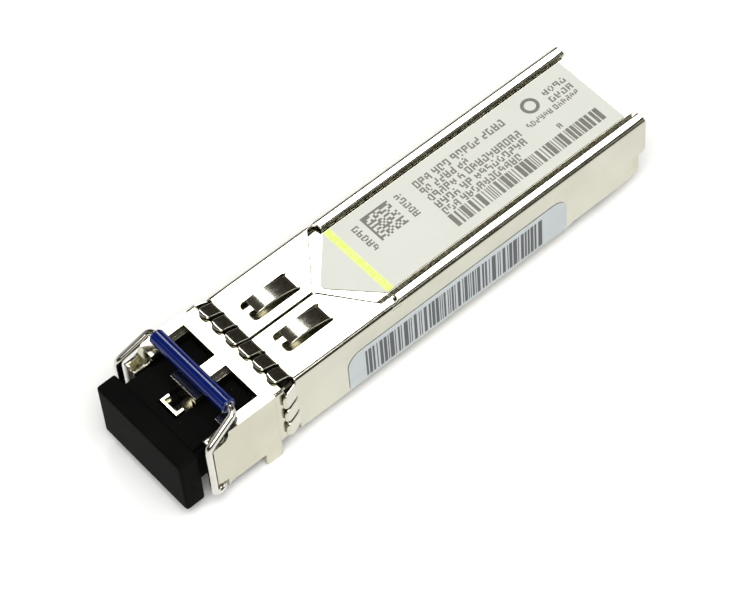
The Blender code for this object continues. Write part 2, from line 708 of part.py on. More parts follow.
def optics(frame, materials):
    """Transmitter on the left, receiver on the right: barrel, can, ferrule sleeve and flex."""
    steel, gold, ceramic, polyimide = materials
    for name, x in (("transmitter", -PORT_PITCH / 2), ("receiver", PORT_PITCH / 2)):
        bore, nose, flange = FERRULE_BORE, BARREL_RADIUS, FLANGE_RADIUS
        barrel = [(BARREL_TIP, bore), (BARREL_TIP, nose - 0.1), (BARREL_TIP + 0.1, nose),
                  (-46.95, nose), (-46.95, flange), (-46.3, flange), (-46.3, 1.6), (-45.6, 1.6),
                  (-45.6, flange), (-44.9, flange), (-44.9, 1.7), (-42.75, 1.7), (-42.75, bore)]
        add_object(f"{name}_barrel", turned(barrel, x, OPTICAL_AXIS_Z), frame, steel)
        tube = [(BARREL_TIP + 0.4, 0.64), (BARREL_TIP + 0.4, 0.79), (-46.4, 0.79), (-46.4, 0.64)]
        add_object(f"{name}_ferrule_sleeve", turned(tube, x, OPTICAL_AXIS_Z, 16), frame, ceramic)
        can = [(-42.7, 0.0), (-42.7, 1.8), (-42.5, 1.9), (-40.1, 1.9), (-40.1, CAN_RADIUS),
               (CAN_REAR, CAN_RADIUS), (CAN_REAR, 0.0)]
        add_object(f"{name}_can", solid_turned(can, x, OPTICAL_AXIS_Z), frame, gold)
        flex = thickened([(CAN_REAR + 0.1, 5.4), (CAN_REAR + 0.1, 4.4), (-38.62, 3.8), (-38.2, 3.45),
                          (-37.6, 3.34), (-35.6, 3.34)], 0.12)
        add_object(f"{name}_flex", extrude(flex, "X", x - 1.3, x + 1.3), frame, polyimide)


def thickened(path, thickness):
    """Outline of a strip of even thickness that follows a 2-D path."""
    path = [Vector(point) for point in path]
    sides = ([], [])
    for k, point in enumerate(path):
        along = (path[min(k + 1, len(path) - 1)] - path[max(k - 1, 0)]).normalized()
        across = Vector((-along.y, along.x)) * thickness / 2
        sides[0].append(tuple(point + across))
        sides[1].append(tuple(point - across))
    return sides[0] + sides[1][::-1]


def solid_turned(profile, centre_x, centre_z, sides=24):
    """Solid body turned about an axis along Y; the profile starts and ends on the axis."""
    shape = bmesh.new()
    ends = [shape.verts.new((centre_x, profile[k][0], centre_z)) for k in (0, -1)]
    rings = []
    for k in range(sides):
        angle = 2 * math.pi * k / sides
        rings.append([shape.verts.new((centre_x + r * math.cos(angle), y, centre_z + r * math.sin(angle)))
                      for y, r in profile[1:-1]])
    for k in range(sides):
        ring, after = rings[k], rings[(k + 1) % sides]
        shape.faces.new((ends[0], after[0], ring[0]))
        shape.faces.new((ends[1], ring[-1], after[-1]))
        for j in range(len(ring) - 1):
            shape.faces.new((ring[j], after[j], after[j + 1], ring[j + 1]))
    return shape


def optics_clamp(frame, material):
    """Saddle that presses both barrels into their seats."""
    clamp = add_object("optics_clamp", block((-5.6, 5.6), (-46.2, -45.7), (4.1, 7.25)), frame, material)
    for x in (-PORT_PITCH / 2, PORT_PITCH / 2):
        cut(clamp, extrude(circle((x, OPTICAL_AXIS_Z), 1.66, 24), "Y", -48, -44), frame)
    return clamp


def optics_gasket(frame, material):
    """Conductive strip that seals the bulkhead round the upper half of both barrels."""
    gasket = add_object("optics_gasket", block((-5.6, 5.6), (-47.36, -47.0), (4.05, 7.25)), frame, material)
    for x in (-PORT_PITCH / 2, PORT_PITCH / 2):
        cut(gasket, extrude(circle((x, OPTICAL_AXIS_Z), BARREL_RADIUS + GAP, 24), "Y", -48, -46), frame)
    return gasket


def circuit_board(frame, material):
    """Board whose narrow tail is the edge connector."""
    wide, tail = BOARD_HALF_WIDTH, BOARD_TAIL_HALF_WIDTH
    outline = [(-wide, BOARD_FRONT), (wide, BOARD_FRONT), (wide, BOARD_TAIL_START - 1), (wide - 1, BOARD_TAIL_START),
               (tail, BOARD_TAIL_START), (tail, BOARD_REAR - 0.4), (tail - 0.4, BOARD_REAR),
               (0.4 - tail, BOARD_REAR), (-tail, BOARD_REAR - 0.4), (-tail, BOARD_TAIL_START),
               (1 - wide, BOARD_TAIL_START), (-wide, BOARD_TAIL_START - 1)]
    return add_object("circuit_board", extrude(outline, "Z", *BOARD_Z), frame, material)


def board_parts(frame, epoxy, ferrite, ceramic, pad):
    """Chips, inductors and capacitors on the board, and the pad that cools the driver."""
    seat = BOARD_Z[1] + GAP
    sizes = {
        "laser_driver": (-2.9, -31.0, 3.0, 3.0, 0.8, epoxy),
        "receive_amplifier": (2.9, -31.0, 3.0, 3.0, 0.8, epoxy),
        "microcontroller": (0.0, -24.5, 4.0, 4.0, 0.9, epoxy),
        "memory_chip": (-3.2, -17.5, 3.0, 3.9, 0.9, epoxy),
        "transmitter_inductor": (3.6, -19.2, 2.0, 1.6, 1.2, ferrite),
        "receiver_inductor": (3.6, -16.2, 2.0, 1.6, 1.2, ferrite),
    }
    for k in range(4):
        sizes[f"capacitor_{k + 1}"] = (-4.2 + 2.8 * k, -27.6, 1.6, 0.8, 0.8, ceramic)
    for name, (x, y, width, length, height, material) in sizes.items():
        body = block((x - width / 2, x + width / 2), (y - length / 2, y + length / 2), (seat, seat + height))
        add_object(name, body, frame, material)
    driver_top = seat + 0.8
    body = block((-4.3, -1.5), (-32.4, -29.6), (driver_top + GAP, COVER_Z[0] - GAP))
    add_object("thermal_pad", body, frame, pad)


def labels(frame, material):
    """Pointed label on the cover's land and a long label on the right wall."""
    low = LAND_TOP + GAP
    outline = [(-LABEL_HALF_WIDTH, LABEL_REAR), (LABEL_HALF_WIDTH, LABEL_REAR), (LABEL_HALF_WIDTH, LABEL_SHOULDER),
               (0.3, LABEL_TIP), (-0.3, LABEL_TIP), (-LABEL_HALF_WIDTH, LABEL_SHOULDER)]
    add_object("top_label", extrude(outline, "Z", low, low + LABEL_THICKNESS), frame, material)
    face = SHELL_HALF_WIDTH + GAP
    side = rounded_rectangle(SIDE_LABEL_Y, SIDE_LABEL_Z, 1.6)
    add_object("side_label", extrude(side, "X", face, face + LABEL_THICKNESS), frame, material)


def main():
    clear_scene()
    frame = bpy.data.objects.new("module_frame", None)
    bpy.context.scene.collection.objects.link(frame)
    frame.location = Vector((0.0, -PLUG_FRONT / 2, FOOT_DEPTH)) * MM
    bpy.context.view_layer.update()

    nickel = finish("nickel_plated_sheet", (0.80, 0.79, 0.74), 0.2, 1.0)
    casting = finish("nickel_plated_casting", (0.74, 0.73, 0.68), 0.3, 1.0)
    steel = finish("stainless_steel", (0.62, 0.62, 0.60), 0.25, 1.0)
    spring_steel = finish("spring_steel", (0.45, 0.45, 0.44), 0.3, 1.0)
    blue = finish("blue_polypropylene", (0.01, 0.03, 0.30), 0.35, 0.0)
    black = finish("black_elastomer", (0.01, 0.01, 0.01), 0.6, 0.0)
    gold = finish("gold_plated_header", (0.83, 0.60, 0.25), 0.25, 1.0)
    zirconia = finish("zirconia", (0.85, 0.84, 0.80), 0.3, 0.0)
    polyimide = finish("polyimide", (0.55, 0.25, 0.04), 0.4, 0.0)
    board = finish("green_laminate", (0.01, 0.16, 0.06), 0.45, 0.0)
    epoxy = finish("moulding_compound", (0.02, 0.02, 0.02), 0.5, 0.0)
    ferrite = finish("ferrite", (0.09, 0.09, 0.10), 0.5, 0.0)
    ceramic = finish("ceramic_dielectric", (0.40, 0.28, 0.18), 0.5, 0.0)
    silicone = finish("silicone_pad", (0.35, 0.42, 0.48), 0.8, 0.0)
    conductive = finish("conductive_elastomer", (0.25, 0.25, 0.26), 0.8, 0.0)
    paper = finish("label_stock", (0.76, 0.77, 0.72), 0.5, 0.0)

    outer_shell(frame, nickel)
    base_housing(frame, casting)
    top_cover(frame, casting)
    bail_wire(frame, steel)
    bail_sleeve(frame, blue)
    latch_lever(frame, steel)
    lever_pin(frame, steel)
    lever_spring(frame, spring_steel)
    dust_plug(frame, black)
    optics(frame, (steel, gold, zirconia, polyimide))
    optics_clamp(frame, casting)
    optics_gasket(frame, conductive)
    circuit_board(frame, board)
    board_parts(frame, epoxy, ferrite, ceramic, silicone)
    labels(frame, paper)


main()
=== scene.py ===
"""Looks of a small pluggable optical transceiver.

It has a folded nickel shell, a cast port nose, a wire bail with a sleeve, a dust plug and labels.
Sizes are millimetres in the module's own frame: X across, Y along with the host end at 0 and the
port end negative, Z up from the underside of the shell. Datum turns them into scene metres.
"""
import logging
import math
import random
from dataclasses import dataclass, field
from enum import Enum
from typing import Callable, Optional, Sequence

import bmesh
import bpy
from mathutils import Matrix, Quaternion, Vector
from mathutils.geometry import delaunay_2d_cdt
from mathutils.kdtree import KDTree


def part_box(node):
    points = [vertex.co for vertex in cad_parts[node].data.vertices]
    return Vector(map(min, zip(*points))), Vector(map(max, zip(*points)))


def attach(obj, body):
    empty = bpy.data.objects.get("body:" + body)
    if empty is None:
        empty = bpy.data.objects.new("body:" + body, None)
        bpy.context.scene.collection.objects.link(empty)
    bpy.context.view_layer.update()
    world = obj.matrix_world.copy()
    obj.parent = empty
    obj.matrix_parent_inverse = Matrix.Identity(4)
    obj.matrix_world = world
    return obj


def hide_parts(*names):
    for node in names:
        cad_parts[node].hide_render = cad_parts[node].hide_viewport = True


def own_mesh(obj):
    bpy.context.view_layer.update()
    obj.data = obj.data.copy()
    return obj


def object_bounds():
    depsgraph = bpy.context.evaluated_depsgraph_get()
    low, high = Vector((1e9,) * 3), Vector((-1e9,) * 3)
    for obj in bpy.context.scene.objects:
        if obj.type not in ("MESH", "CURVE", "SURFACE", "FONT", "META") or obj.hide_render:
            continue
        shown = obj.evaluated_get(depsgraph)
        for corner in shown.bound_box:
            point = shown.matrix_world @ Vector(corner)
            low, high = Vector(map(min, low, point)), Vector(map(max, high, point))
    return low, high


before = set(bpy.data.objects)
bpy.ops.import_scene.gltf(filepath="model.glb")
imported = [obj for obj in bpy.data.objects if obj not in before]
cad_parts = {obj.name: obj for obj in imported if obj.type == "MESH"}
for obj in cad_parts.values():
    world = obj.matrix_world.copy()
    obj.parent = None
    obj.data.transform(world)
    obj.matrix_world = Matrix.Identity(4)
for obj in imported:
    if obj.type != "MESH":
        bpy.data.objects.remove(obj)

CAD_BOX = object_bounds()
MM = 0.001
FOOT_DEPTH = 1.43
WELD_MM = 0.0005
FLAT_DEGREES = 1.0
LOG = logging.getLogger("transceiver")

Point = tuple[float, float]
Span = tuple[float, float]
Corner = tuple[float, float, float]
Placed = tuple[Vector, Vector]
Place = Callable[[float, float], Placed]


class Body(Enum):
    """What each piece moves with."""

    ROOT = "root"
    BAIL = "bail"
    LATCH = "latch"
    PLUG = "plug"


class Slot(Enum):
    """Names of finish slots by kind of surface; the pieces here take Finish objects directly."""

    SHEET = "plated_sheet"
    CASTING = "plated_casting"
    WIRE = "steel_wire"
    SLEEVE = "blue_plastic"
    STAINLESS = "stainless_steel"
    SPRING = "spring_steel"
    PLUG = "black_elastomer"
    BOARD = "board_laminate"
    LABEL = "label_stock"


# ---------------------------------------------------------------- colours and node building

def linear(colour: str) -> tuple[float, float, float, float]:
    """Turn an sRGB hex colour into linear light.

    Args:
        colour: six hex digits after a hash sign.

    Returns:
        Red, green, blue and full opacity.
    """
    values = [int(colour[k:k + 2], 16) / 255 for k in (1, 3, 5)]
    slope, offset, power, split = 12.92, 0.055, 2.4, 0.04045
    light = [v / slope if v <= split else ((v + offset) / (1 + offset)) ** power for v in values]
    return (*light, 1.0)


def add_node(tree: bpy.types.NodeTree, kind: str, settings: Optional[dict] = None,
             links: Optional[dict] = None) -> bpy.types.Node:
    """Add one node with its settings and its links.

    Args:
        tree: the node tree.
        kind: the node's type name.
        settings: values by property name, or by input name or number.
        links: output sockets by input name or number.

    Returns:
        The new node.
    """
    node = tree.nodes.new(kind)
    for key, value in (settings or {}).items():
        if isinstance(key, str) and hasattr(node, key):
            setattr(node, key, value)
        else:
            node.inputs[key].default_value = value
    for key, source in (links or {}).items():
        tree.links.new(source, node.inputs[key])
    return node


# ---------------------------------------------------------------- finishes

@dataclass(frozen=True)
class Finish:
    """How a surface looks, with pattern sizes in millimetres.

    Grain is the fine texture of the surface, drawn out along Y by grain_stretch. Blotches are the
    broad changes of tone, ripple the slight unevenness of the form, and specks the odd pits.
    Details are the noise's detail for grain, blotches and ripple.
    """

    tint: str = "#808080"
    blotch_tint: str = "#707070"
    blotch_mm: float = 4.0
    blotch_share: float = 0.5
    metallic: float = 0.0
    roughness: Span = (0.4, 0.5)
    grain_mm: float = 0.1
    grain_stretch: float = 1.0
    grain_height_mm: float = 0.001
    ripple_mm: float = 3.0
    ripple_height_mm: float = 0.0
    speck_tint: str = ""
    speck_mm: float = 0.3
    speck_reach: float = 0.12
    ior: float = 1.5
    coat: float = 0.0
    coat_roughness: float = 0.1
    glow: float = 0.0
    specular: float = 0.5
    gloss_noise: Span = (0.3, 0.7)
    blotch_noise: Span = (0.35, 0.7)
    details: tuple[float, float, float] = (3.0, 4.0, 1.0)

    def material(self) -> bpy.types.Material:
        """Build the node material, once for each finish.

        Returns:
            The material, named for the finish.
        """
        name = type(self).__name__
        if name in bpy.data.materials:
            return bpy.data.materials[name]
        material = bpy.data.materials.new(name)
        material.use_nodes = True
        tree = material.node_tree
        shader = tree.nodes["Principled BSDF"]
        where = add_node(tree, "ShaderNodeTexCoord").outputs["Object"]
        per_mm = 1 / MM
        drawn, plain = (add_node(tree, "ShaderNodeMapping", {"Scale": (per_mm, per_mm / stretch, per_mm)},
                                 {"Vector": where}).outputs[0] for stretch in (self.grain_stretch, 1.0))
        fine, broad, slow = self.details
        grain = add_node(tree, "ShaderNodeTexNoise", {"Scale": 1 / self.grain_mm, "Detail": fine},
                         {"Vector": drawn}).outputs[0]
        cloud = add_node(tree, "ShaderNodeTexNoise", {"Scale": 1 / self.blotch_mm, "Detail": broad},
                         {"Vector": plain}).outputs[0]
        colour = self.colour(tree, plain, cloud)
        gloss = add_node(tree, "ShaderNodeMapRange",
                         {"From Min": self.gloss_noise[0], "From Max": self.gloss_noise[1],
                          "To Min": self.roughness[0], "To Max": self.roughness[1]}, {"Value": grain})
        relief = add_node(tree, "ShaderNodeBump", {"Distance": self.grain_height_mm * MM}, {"Height": grain})
        if self.ripple_height_mm:
            swell = add_node(tree, "ShaderNodeTexNoise", {"Scale": 1 / self.ripple_mm, "Detail": slow},
                             {"Vector": plain}).outputs[0]
            relief = add_node(tree, "ShaderNodeBump", {"Distance": self.ripple_height_mm * MM},
                              {"Height": swell, "Normal": relief.outputs[0]})
        tree.links.new(colour, shader.inputs["Base Color"])
        tree.links.new(gloss.outputs[0], shader.inputs["Roughness"])
        tree.links.new(relief.outputs[0], shader.inputs["Normal"])
        self.set_sockets(shader)
        return material

    def colour(self, tree: bpy.types.NodeTree, where: bpy.types.NodeSocket,
               cloud: bpy.types.NodeSocket) -> bpy.types.NodeSocket:
        """Colour with its blotches and specks.

        Args:
            tree: the node tree.
            where: place in millimetres.
            cloud: broad noise from 0 to 1.

        Returns:
            The colour's socket.
        """
        share = add_node(tree, "ShaderNodeMapRange",
                         {"From Min": self.blotch_noise[0], "From Max": self.blotch_noise[1],
                          "To Max": self.blotch_share}, {"Value": cloud})
        mix = add_node(tree, "ShaderNodeMix",
                       {"data_type": "RGBA", 6: linear(self.tint), 7: linear(self.blotch_tint)},
                       {0: share.outputs[0]})
        if not self.speck_tint:
            return mix.outputs[2]
        cells = add_node(tree, "ShaderNodeTexVoronoi", {"Scale": 1 / self.speck_mm}, {"Vector": where})
        near = add_node(tree, "ShaderNodeMath", {"operation": "LESS_THAN", 1: self.speck_reach},
                        {0: cells.outputs["Distance"]})
        specks = add_node(tree, "ShaderNodeMix", {"data_type": "RGBA", 7: linear(self.speck_tint)},
                          {0: near.outputs[0], 6: mix.outputs[2]})
        return specks.outputs[2]

    def set_sockets(self, shader: bpy.types.Node) -> None:
        """Set the values that are the same all over the surface.

        Args:
            shader: the Principled node.
        """
        values = {"Metallic": self.metallic, "Coat Weight": self.coat, "Coat Roughness": self.coat_roughness}
        if not self.metallic:
            values |= {"IOR": self.ior, "Specular IOR Level": self.specular}
        if self.glow:
            values |= {"Emission Color": linear(self.tint), "Emission Strength": self.glow}
        for socket, value in values.items():
            shader.inputs[socket].default_value = value


@dataclass(frozen=True)
class Metal(Finish):
    """Bare or plated metal: it mirrors the room in its own tint."""

    metallic: float = 1.0


@dataclass(frozen=True)
class BrightNickelSheet(Metal):
    """Rolled steel strip, blanked, folded and plated in bright nickel.

    It gives a warm mirror with a faint grain along the strip and a slightly uneven fold.
    """

    tint: str = "#C9C8BB"
    blotch_tint: str = "#BEBBAB"
    roughness: Span = (0.12, 0.2)
    grain_mm: float = 0.14
    grain_stretch: float = 14.0
    grain_height_mm: float = 0.0003
    ripple_mm: float = 5.0
    ripple_height_mm: float = 0.015
    speck_tint: str = "#8C8672"
    speck_mm: float = 1.4
    speck_reach: float = 0.035


@dataclass(frozen=True)
class NickelCasting(Metal):
    """Zinc die casting, tumbled and plated in bright nickel: softer gloss, a fine orange peel."""

    tint: str = "#C8C6B7"
    blotch_tint: str = "#BCB8A6"
    roughness: Span = (0.12, 0.22)
    grain_mm: float = 0.2
    grain_height_mm: float = 0.0006
    ripple_mm: float = 2.2
    ripple_height_mm: float = 0.01


@dataclass(frozen=True)
class RecessShadeCasting(Metal):
    """Casting faces in the port and under the fingers: a dark tint that paints their shade, with a duller
    gloss.
    """

    tint: str = "#3A382F"
    blotch_tint: str = "#2C2A23"
    blotch_mm: float = 1.0
    roughness: Span = (0.4, 0.55)
    grain_mm: float = 0.12
    grain_height_mm: float = 0.002


@dataclass(frozen=True)
class DrawnStainlessWire(Metal):
    """Stainless spring wire, drawn and polished: a bright round bar with fine draw lines."""

    tint: str = "#DAD8D1"
    blotch_tint: str = "#BDB9AE"
    roughness: Span = (0.10, 0.2)
    grain_mm: float = 0.08
    grain_height_mm: float = 0.0012
    ripple_mm: float = 1.6
    ripple_height_mm: float = 0.01


@dataclass(frozen=True)
class StainlessSteel(Metal):
    """Stamped or turned stainless steel, tumbled: satin, a little darker than nickel."""

    tint: str = "#CBC9C4"
    blotch_tint: str = "#B4B1AA"
    roughness: Span = (0.22, 0.34)
    grain_mm: float = 0.1
    grain_height_mm: float = 0.0015


@dataclass(frozen=True)
class SpringSteel(Metal):
    """Hardened spring wire, oil finished: dark and satin."""

    tint: str = "#8E8C88"
    blotch_tint: str = "#6E6B66"
    roughness: Span = (0.25, 0.4)
    grain_mm: float = 0.06


@dataclass(frozen=True)
class GoldPlate(Metal):
    """Electroplated gold on the header, flange and contacts: warm and softly bright."""

    tint: str = "#E8C27A"
    blotch_tint: str = "#D4A85C"
    roughness: Span = (0.16, 0.3)
    grain_mm: float = 0.08
    grain_height_mm: float = 0.001


@dataclass(frozen=True)
class BluePolypropylene(Finish):
    """Extruded polypropylene tube in royal blue: smooth, slightly waxy, with faint draw marks."""

    tint: str = "#02175A"
    blotch_tint: str = "#02114E"
    blotch_mm: float = 2.5
    roughness: Span = (0.06, 0.1)
    grain_mm: float = 0.12
    grain_height_mm: float = 0.0003
    ripple_mm: float = 2.0
    ripple_height_mm: float = 0.012
    ior: float = 1.49


@dataclass(frozen=True)
class BlackElastomer(Finish):
    """Thermoplastic rubber moulded in a spark-eroded tool: near black, soft sheen, a little dust."""

    tint: str = "#0B0C0B"
    blotch_tint: str = "#121311"
    blotch_mm: float = 3.0
    roughness: Span = (0.42, 0.58)
    grain_mm: float = 0.09
    grain_height_mm: float = 0.004
    ripple_mm: float = 4.0
    ripple_height_mm: float = 0.02
    speck_tint: str = "#4A4A44"
    speck_mm: float = 1.1
    speck_reach: float = 0.035
    ior: float = 1.48
    specular: float = 0.01


@dataclass(frozen=True)
class PolyesterLabel(Finish):
    """Satin white polyester film with a matt topcoat: pale grey with a very fine tooth."""

    tint: str = "#CECFC8"
    blotch_tint: str = "#C8C9C0"
    blotch_mm: float = 6.0
    roughness: Span = (0.42, 0.55)
    grain_mm: float = 0.08
    grain_height_mm: float = 0.0015
    speck_tint: str = "#BDBDB2"
    speck_mm: float = 0.8
    speck_reach: float = 0.04
    coat: float = 0.15
    coat_roughness: float = 0.3


@dataclass(frozen=True)
class SilveredLabel(Finish):
    """Metallised polyester film: cool grey-blue with a soft satin shine."""

    tint: str = "#B4BBBE"
    blotch_tint: str = "#A7AFB3"
    blotch_mm: float = 5.0
    roughness: Span = (0.3, 0.4)
    grain_mm: float = 0.1
    grain_height_mm: float = 0.001
    coat: float = 0.3
    coat_roughness: float = 0.2


@dataclass(frozen=True)
class GreyResinPrint(Finish):
    """Thermal-transfer resin print: mid grey, slightly broken where the ribbon missed."""

    tint: str = "#6B6B65"
    blotch_tint: str = "#7B7B74"
    blotch_mm: float = 1.2
    roughness: Span = (0.4, 0.5)
    grain_mm: float = 0.06
    speck_tint: str = "#A3A39B"
    speck_mm: float = 0.22
    speck_reach: float = 0.14


@dataclass(frozen=True)
class DarkResinPrint(Finish):
    """Thermal-transfer resin print in black: solid bars with a dull face."""

    tint: str = "#33363A"
    blotch_tint: str = "#44474A"
    blotch_mm: float = 1.5
    roughness: Span = (0.35, 0.45)
    grain_mm: float = 0.06
    speck_tint: str = "#70757A"
    speck_mm: float = 0.25
    speck_reach: float = 0.1


@dataclass(frozen=True)
class FluorescentInk(Finish):
    """Flexo-printed fluorescent stripe: a vivid yellow-green with a mottled lay of ink."""

    tint: str = "#CFF05E"
    blotch_tint: str = "#E2F3A6"
    blotch_mm: float = 0.3
    blotch_share: float = 0.9
    roughness: Span = (0.5, 0.6)
    grain_mm: float = 0.08
    glow: float = 0.06


@dataclass(frozen=True)
class GreenSolderMask(Finish):
    """Glass-epoxy board under green solder mask: glossy, with copper showing faintly through."""

    tint: str = "#0F5A34"
    blotch_tint: str = "#1C7446"
    blotch_mm: float = 0.9
    roughness: Span = (0.25, 0.4)
    grain_mm: float = 0.25
    grain_height_mm: float = 0.004
    coat: float = 0.3


@dataclass(frozen=True)
class MouldingCompound(Finish):
    """Black epoxy chip package: matt, faintly speckled with filler."""

    tint: str = "#232424"
    blotch_tint: str = "#2D2E2E"
    roughness: Span = (0.5, 0.65)
    grain_mm: float = 0.07
    grain_height_mm: float = 0.003
    speck_tint: str = "#484846"
    speck_mm: float = 0.4


@dataclass(frozen=True)
class SinteredFerrite(Finish):
    """Pressed and sintered ferrite: dark grey, dry and grainy."""

    tint: str = "#3A3B3E"
    blotch_tint: str = "#4B4C4F"
    roughness: Span = (0.55, 0.75)
    grain_mm: float = 0.09
    grain_height_mm: float = 0.005


@dataclass(frozen=True)
class FiredDielectric(Finish):
    """Fired ceramic capacitor body: smooth tan brown."""

    tint: str = "#A98762"
    blotch_tint: str = "#93714E"
    blotch_mm: float = 0.6
    roughness: Span = (0.35, 0.5)


@dataclass(frozen=True)
class GroundZirconia(Finish):
    """Ground zirconia sleeve: ivory white and finely polished."""

    tint: str = "#EEECE2"
    blotch_tint: str = "#E2DFD2"
    roughness: Span = (0.15, 0.25)
    grain_mm: float = 0.05
    ior: float = 2.1


@dataclass(frozen=True)
class PolyimideFilm(Finish):
    """Amber polyimide flex with copper under it: smooth and slightly glossy."""

    tint: str = "#B9752B"
    blotch_tint: str = "#9C5E1E"
    blotch_mm: float = 0.7
    roughness: Span = (0.25, 0.4)
    ior: float = 1.7


@dataclass(frozen=True)
class ConductiveElastomer(Finish):
    """Silver-filled silicone gasket: matt grey with a metallic sparkle."""

    tint: str = "#8A8A8C"
    blotch_tint: str = "#77777A"
    roughness: Span = (0.6, 0.8)
    grain_mm: float = 0.08
    grain_height_mm: float = 0.006


@dataclass(frozen=True)
class SiliconePad(Finish):
    """Soft filled silicone gap pad: matt grey-blue and slightly rubbery."""

    tint: str = "#9CADB8"
    blotch_tint: str = "#8A9CA8"
    roughness: Span = (0.65, 0.8)
    grain_mm: float = 0.15
    grain_height_mm: float = 0.006


@dataclass(frozen=True)
class StudioPaper(Finish):
    """Seamless white background paper: flat and even."""

    tint: str = "#F6F6F6"
    blotch_tint: str = "#F3F3F4"
    blotch_mm: float = 60.0
    roughness: Span = (0.85, 0.95)
    grain_mm: float = 0.8
    grain_height_mm: float = 0.01


# ---------------------------------------------------------------- placing pieces

@dataclass(frozen=True)
class Datum:
    """Where the module's own frame sits in the scene, read off the fixed model."""

    host_end_y: float
    belly_z: float

    @classmethod
    def from_frame(cls) -> "Datum":
        """Read the host end off the shell and the belly off the nose's feet.

        Returns:
            The datum.
        """
        host_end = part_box("outer_shell")[1].y
        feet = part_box("base_housing")[0].z
        return cls(host_end, feet + FOOT_DEPTH * MM)

    def metres(self, place: Sequence[float]) -> Vector:
        """Turn a place in module millimetres into scene metres."""
        x, y, z = place
        return Vector((x * MM, y * MM + self.host_end_y, z * MM + self.belly_z))


def link(name: str, data: bpy.types.ID) -> bpy.types.Object:
    """Put a new object with this data in the scene.

    Args:
        name: the object's name.
        data: its mesh, curve, lamp or camera.

    Returns:
        The new object.
    """
    thing = bpy.data.objects.new(name, data)
    bpy.context.scene.collection.objects.link(thing)
    return thing


def add_piece(name: str, data: bpy.types.ID, body: Body, finishes: Sequence[Finish],
              stands_for: Sequence[str] = ()) -> bpy.types.Object:
    """Link a new piece, dress it and let it ride on its body.

    Args:
        name: the piece's name.
        data: its mesh or curve, in scene metres.
        body: what it moves with.
        finishes: one finish for each of its material numbers.
        stands_for: nodes of the fixed model that it takes the place of.

    Returns:
        The new object.
    """
    piece = link(name, data)
    if data.materials:
        data.materials.clear()
    for finish in finishes:
        data.materials.append(finish.material())
    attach(piece, body.value)
    if stands_for:
        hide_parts(*stands_for)
    LOG.info("%s rides on %s", name, body.value)
    return piece


def dress(finish: Finish, *nodes: str) -> None:
    """Give nodes of the fixed model a better material.

    Args:
        finish: their new finish.
        nodes: names of the nodes.
    """
    for node in nodes:
        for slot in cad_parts[node].material_slots:
            slot.material = finish.material()
        LOG.info("%s dressed in %s", node, type(finish).__name__)


def mesh_from(shape: bmesh.types.BMesh, name: str) -> bpy.types.Mesh:
    """Turn a shape into a mesh, and free the shape.

    Args:
        shape: the shape in scene metres; it is used up.
        name: the mesh's name.

    Returns:
        The new mesh.
    """
    mesh = bpy.data.meshes.new(name)
    shape.to_mesh(mesh)
    shape.free()
    return mesh


def swept_mesh(shape: bmesh.types.BMesh, name: str, sharp: float) -> bpy.types.Mesh:
    """Turn a swept shape into a smooth mesh with sharp creases.

    Args:
        shape: the shape in scene metres; it is used up.
        name: the mesh's name.
        sharp: edges that turn by more than this many degrees stay sharp.

    Returns:
        The new mesh.
    """
    bmesh.ops.recalc_face_normals(shape, faces=shape.faces)
    mesh = mesh_from(shape, name)
    mesh.shade_smooth()
    mesh.set_sharp_from_angle(angle=math.radians(sharp))
    return mesh


def eased_copy(node: str, width: float, segments: int = 3, angle: float = 30.0) -> bpy.types.Mesh:
    """Copy a node's mesh, round its sharp edges and shade it smoothly.

    Args:
        node: the node of the fixed model.
        width: width of the rounding in millimetres.
        segments: faces across each rounding.
        angle: edges that turn by more than this many degrees are rounded.

    Returns:
        The new mesh in scene metres.
    """
    shape = bmesh.new()
    shape.from_mesh(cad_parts[node].data)
    bmesh.ops.remove_doubles(shape, verts=shape.verts, dist=WELD_MM * MM)
    bmesh.ops.dissolve_limit(shape, angle_limit=math.radians(FLAT_DEGREES), verts=shape.verts,
                             edges=shape.edges)
    mesh = mesh_from(shape, node)
    carrier = link("carrier", mesh)
    bevel = carrier.modifiers.new("ease", "BEVEL")
    bevel.width = width * MM
    bevel.segments = segments
    bevel.limit_method = "ANGLE"
    bevel.angle_limit = math.radians(angle)
    bevel.harden_normals = True
    bevel.use_clamp_overlap = True
    smooth = carrier.modifiers.new("even", "WEIGHTED_NORMAL")
    smooth.keep_sharp = True
    mesh.shade_smooth()
    bpy.context.view_layer.update()
    graph = bpy.context.evaluated_depsgraph_get()
    result = bpy.data.meshes.new_from_object(carrier.evaluated_get(graph))
    bpy.data.objects.remove(carrier, do_unlink=True)
    return result


# ---------------------------------------------------------------- thin sheets

def round_corner(before: Vector, here: Vector, after: Vector, radius: float, steps: int = 9) -> list[Vector]:
    """Arc that turns a path's corner.

    Args:
        before: the path's last corner.
        here: the corner to turn.
        after: the path's next corner.
        radius: the arc's radius.
        steps: pieces in the arc.

    Returns:
        The arc's points.
    """
    back, ahead = (before - here).normalized(), (after - here).normalized()
    half = back.angle(ahead) / 2
    centre = here + (back + ahead).normalized() * radius / math.sin(half)
    first, last = ((here + way * radius / math.tan(half) - centre).normalized() for way in (back, ahead))
    return [centre + radius * first.slerp(last, k / steps) for k in range(steps + 1)]


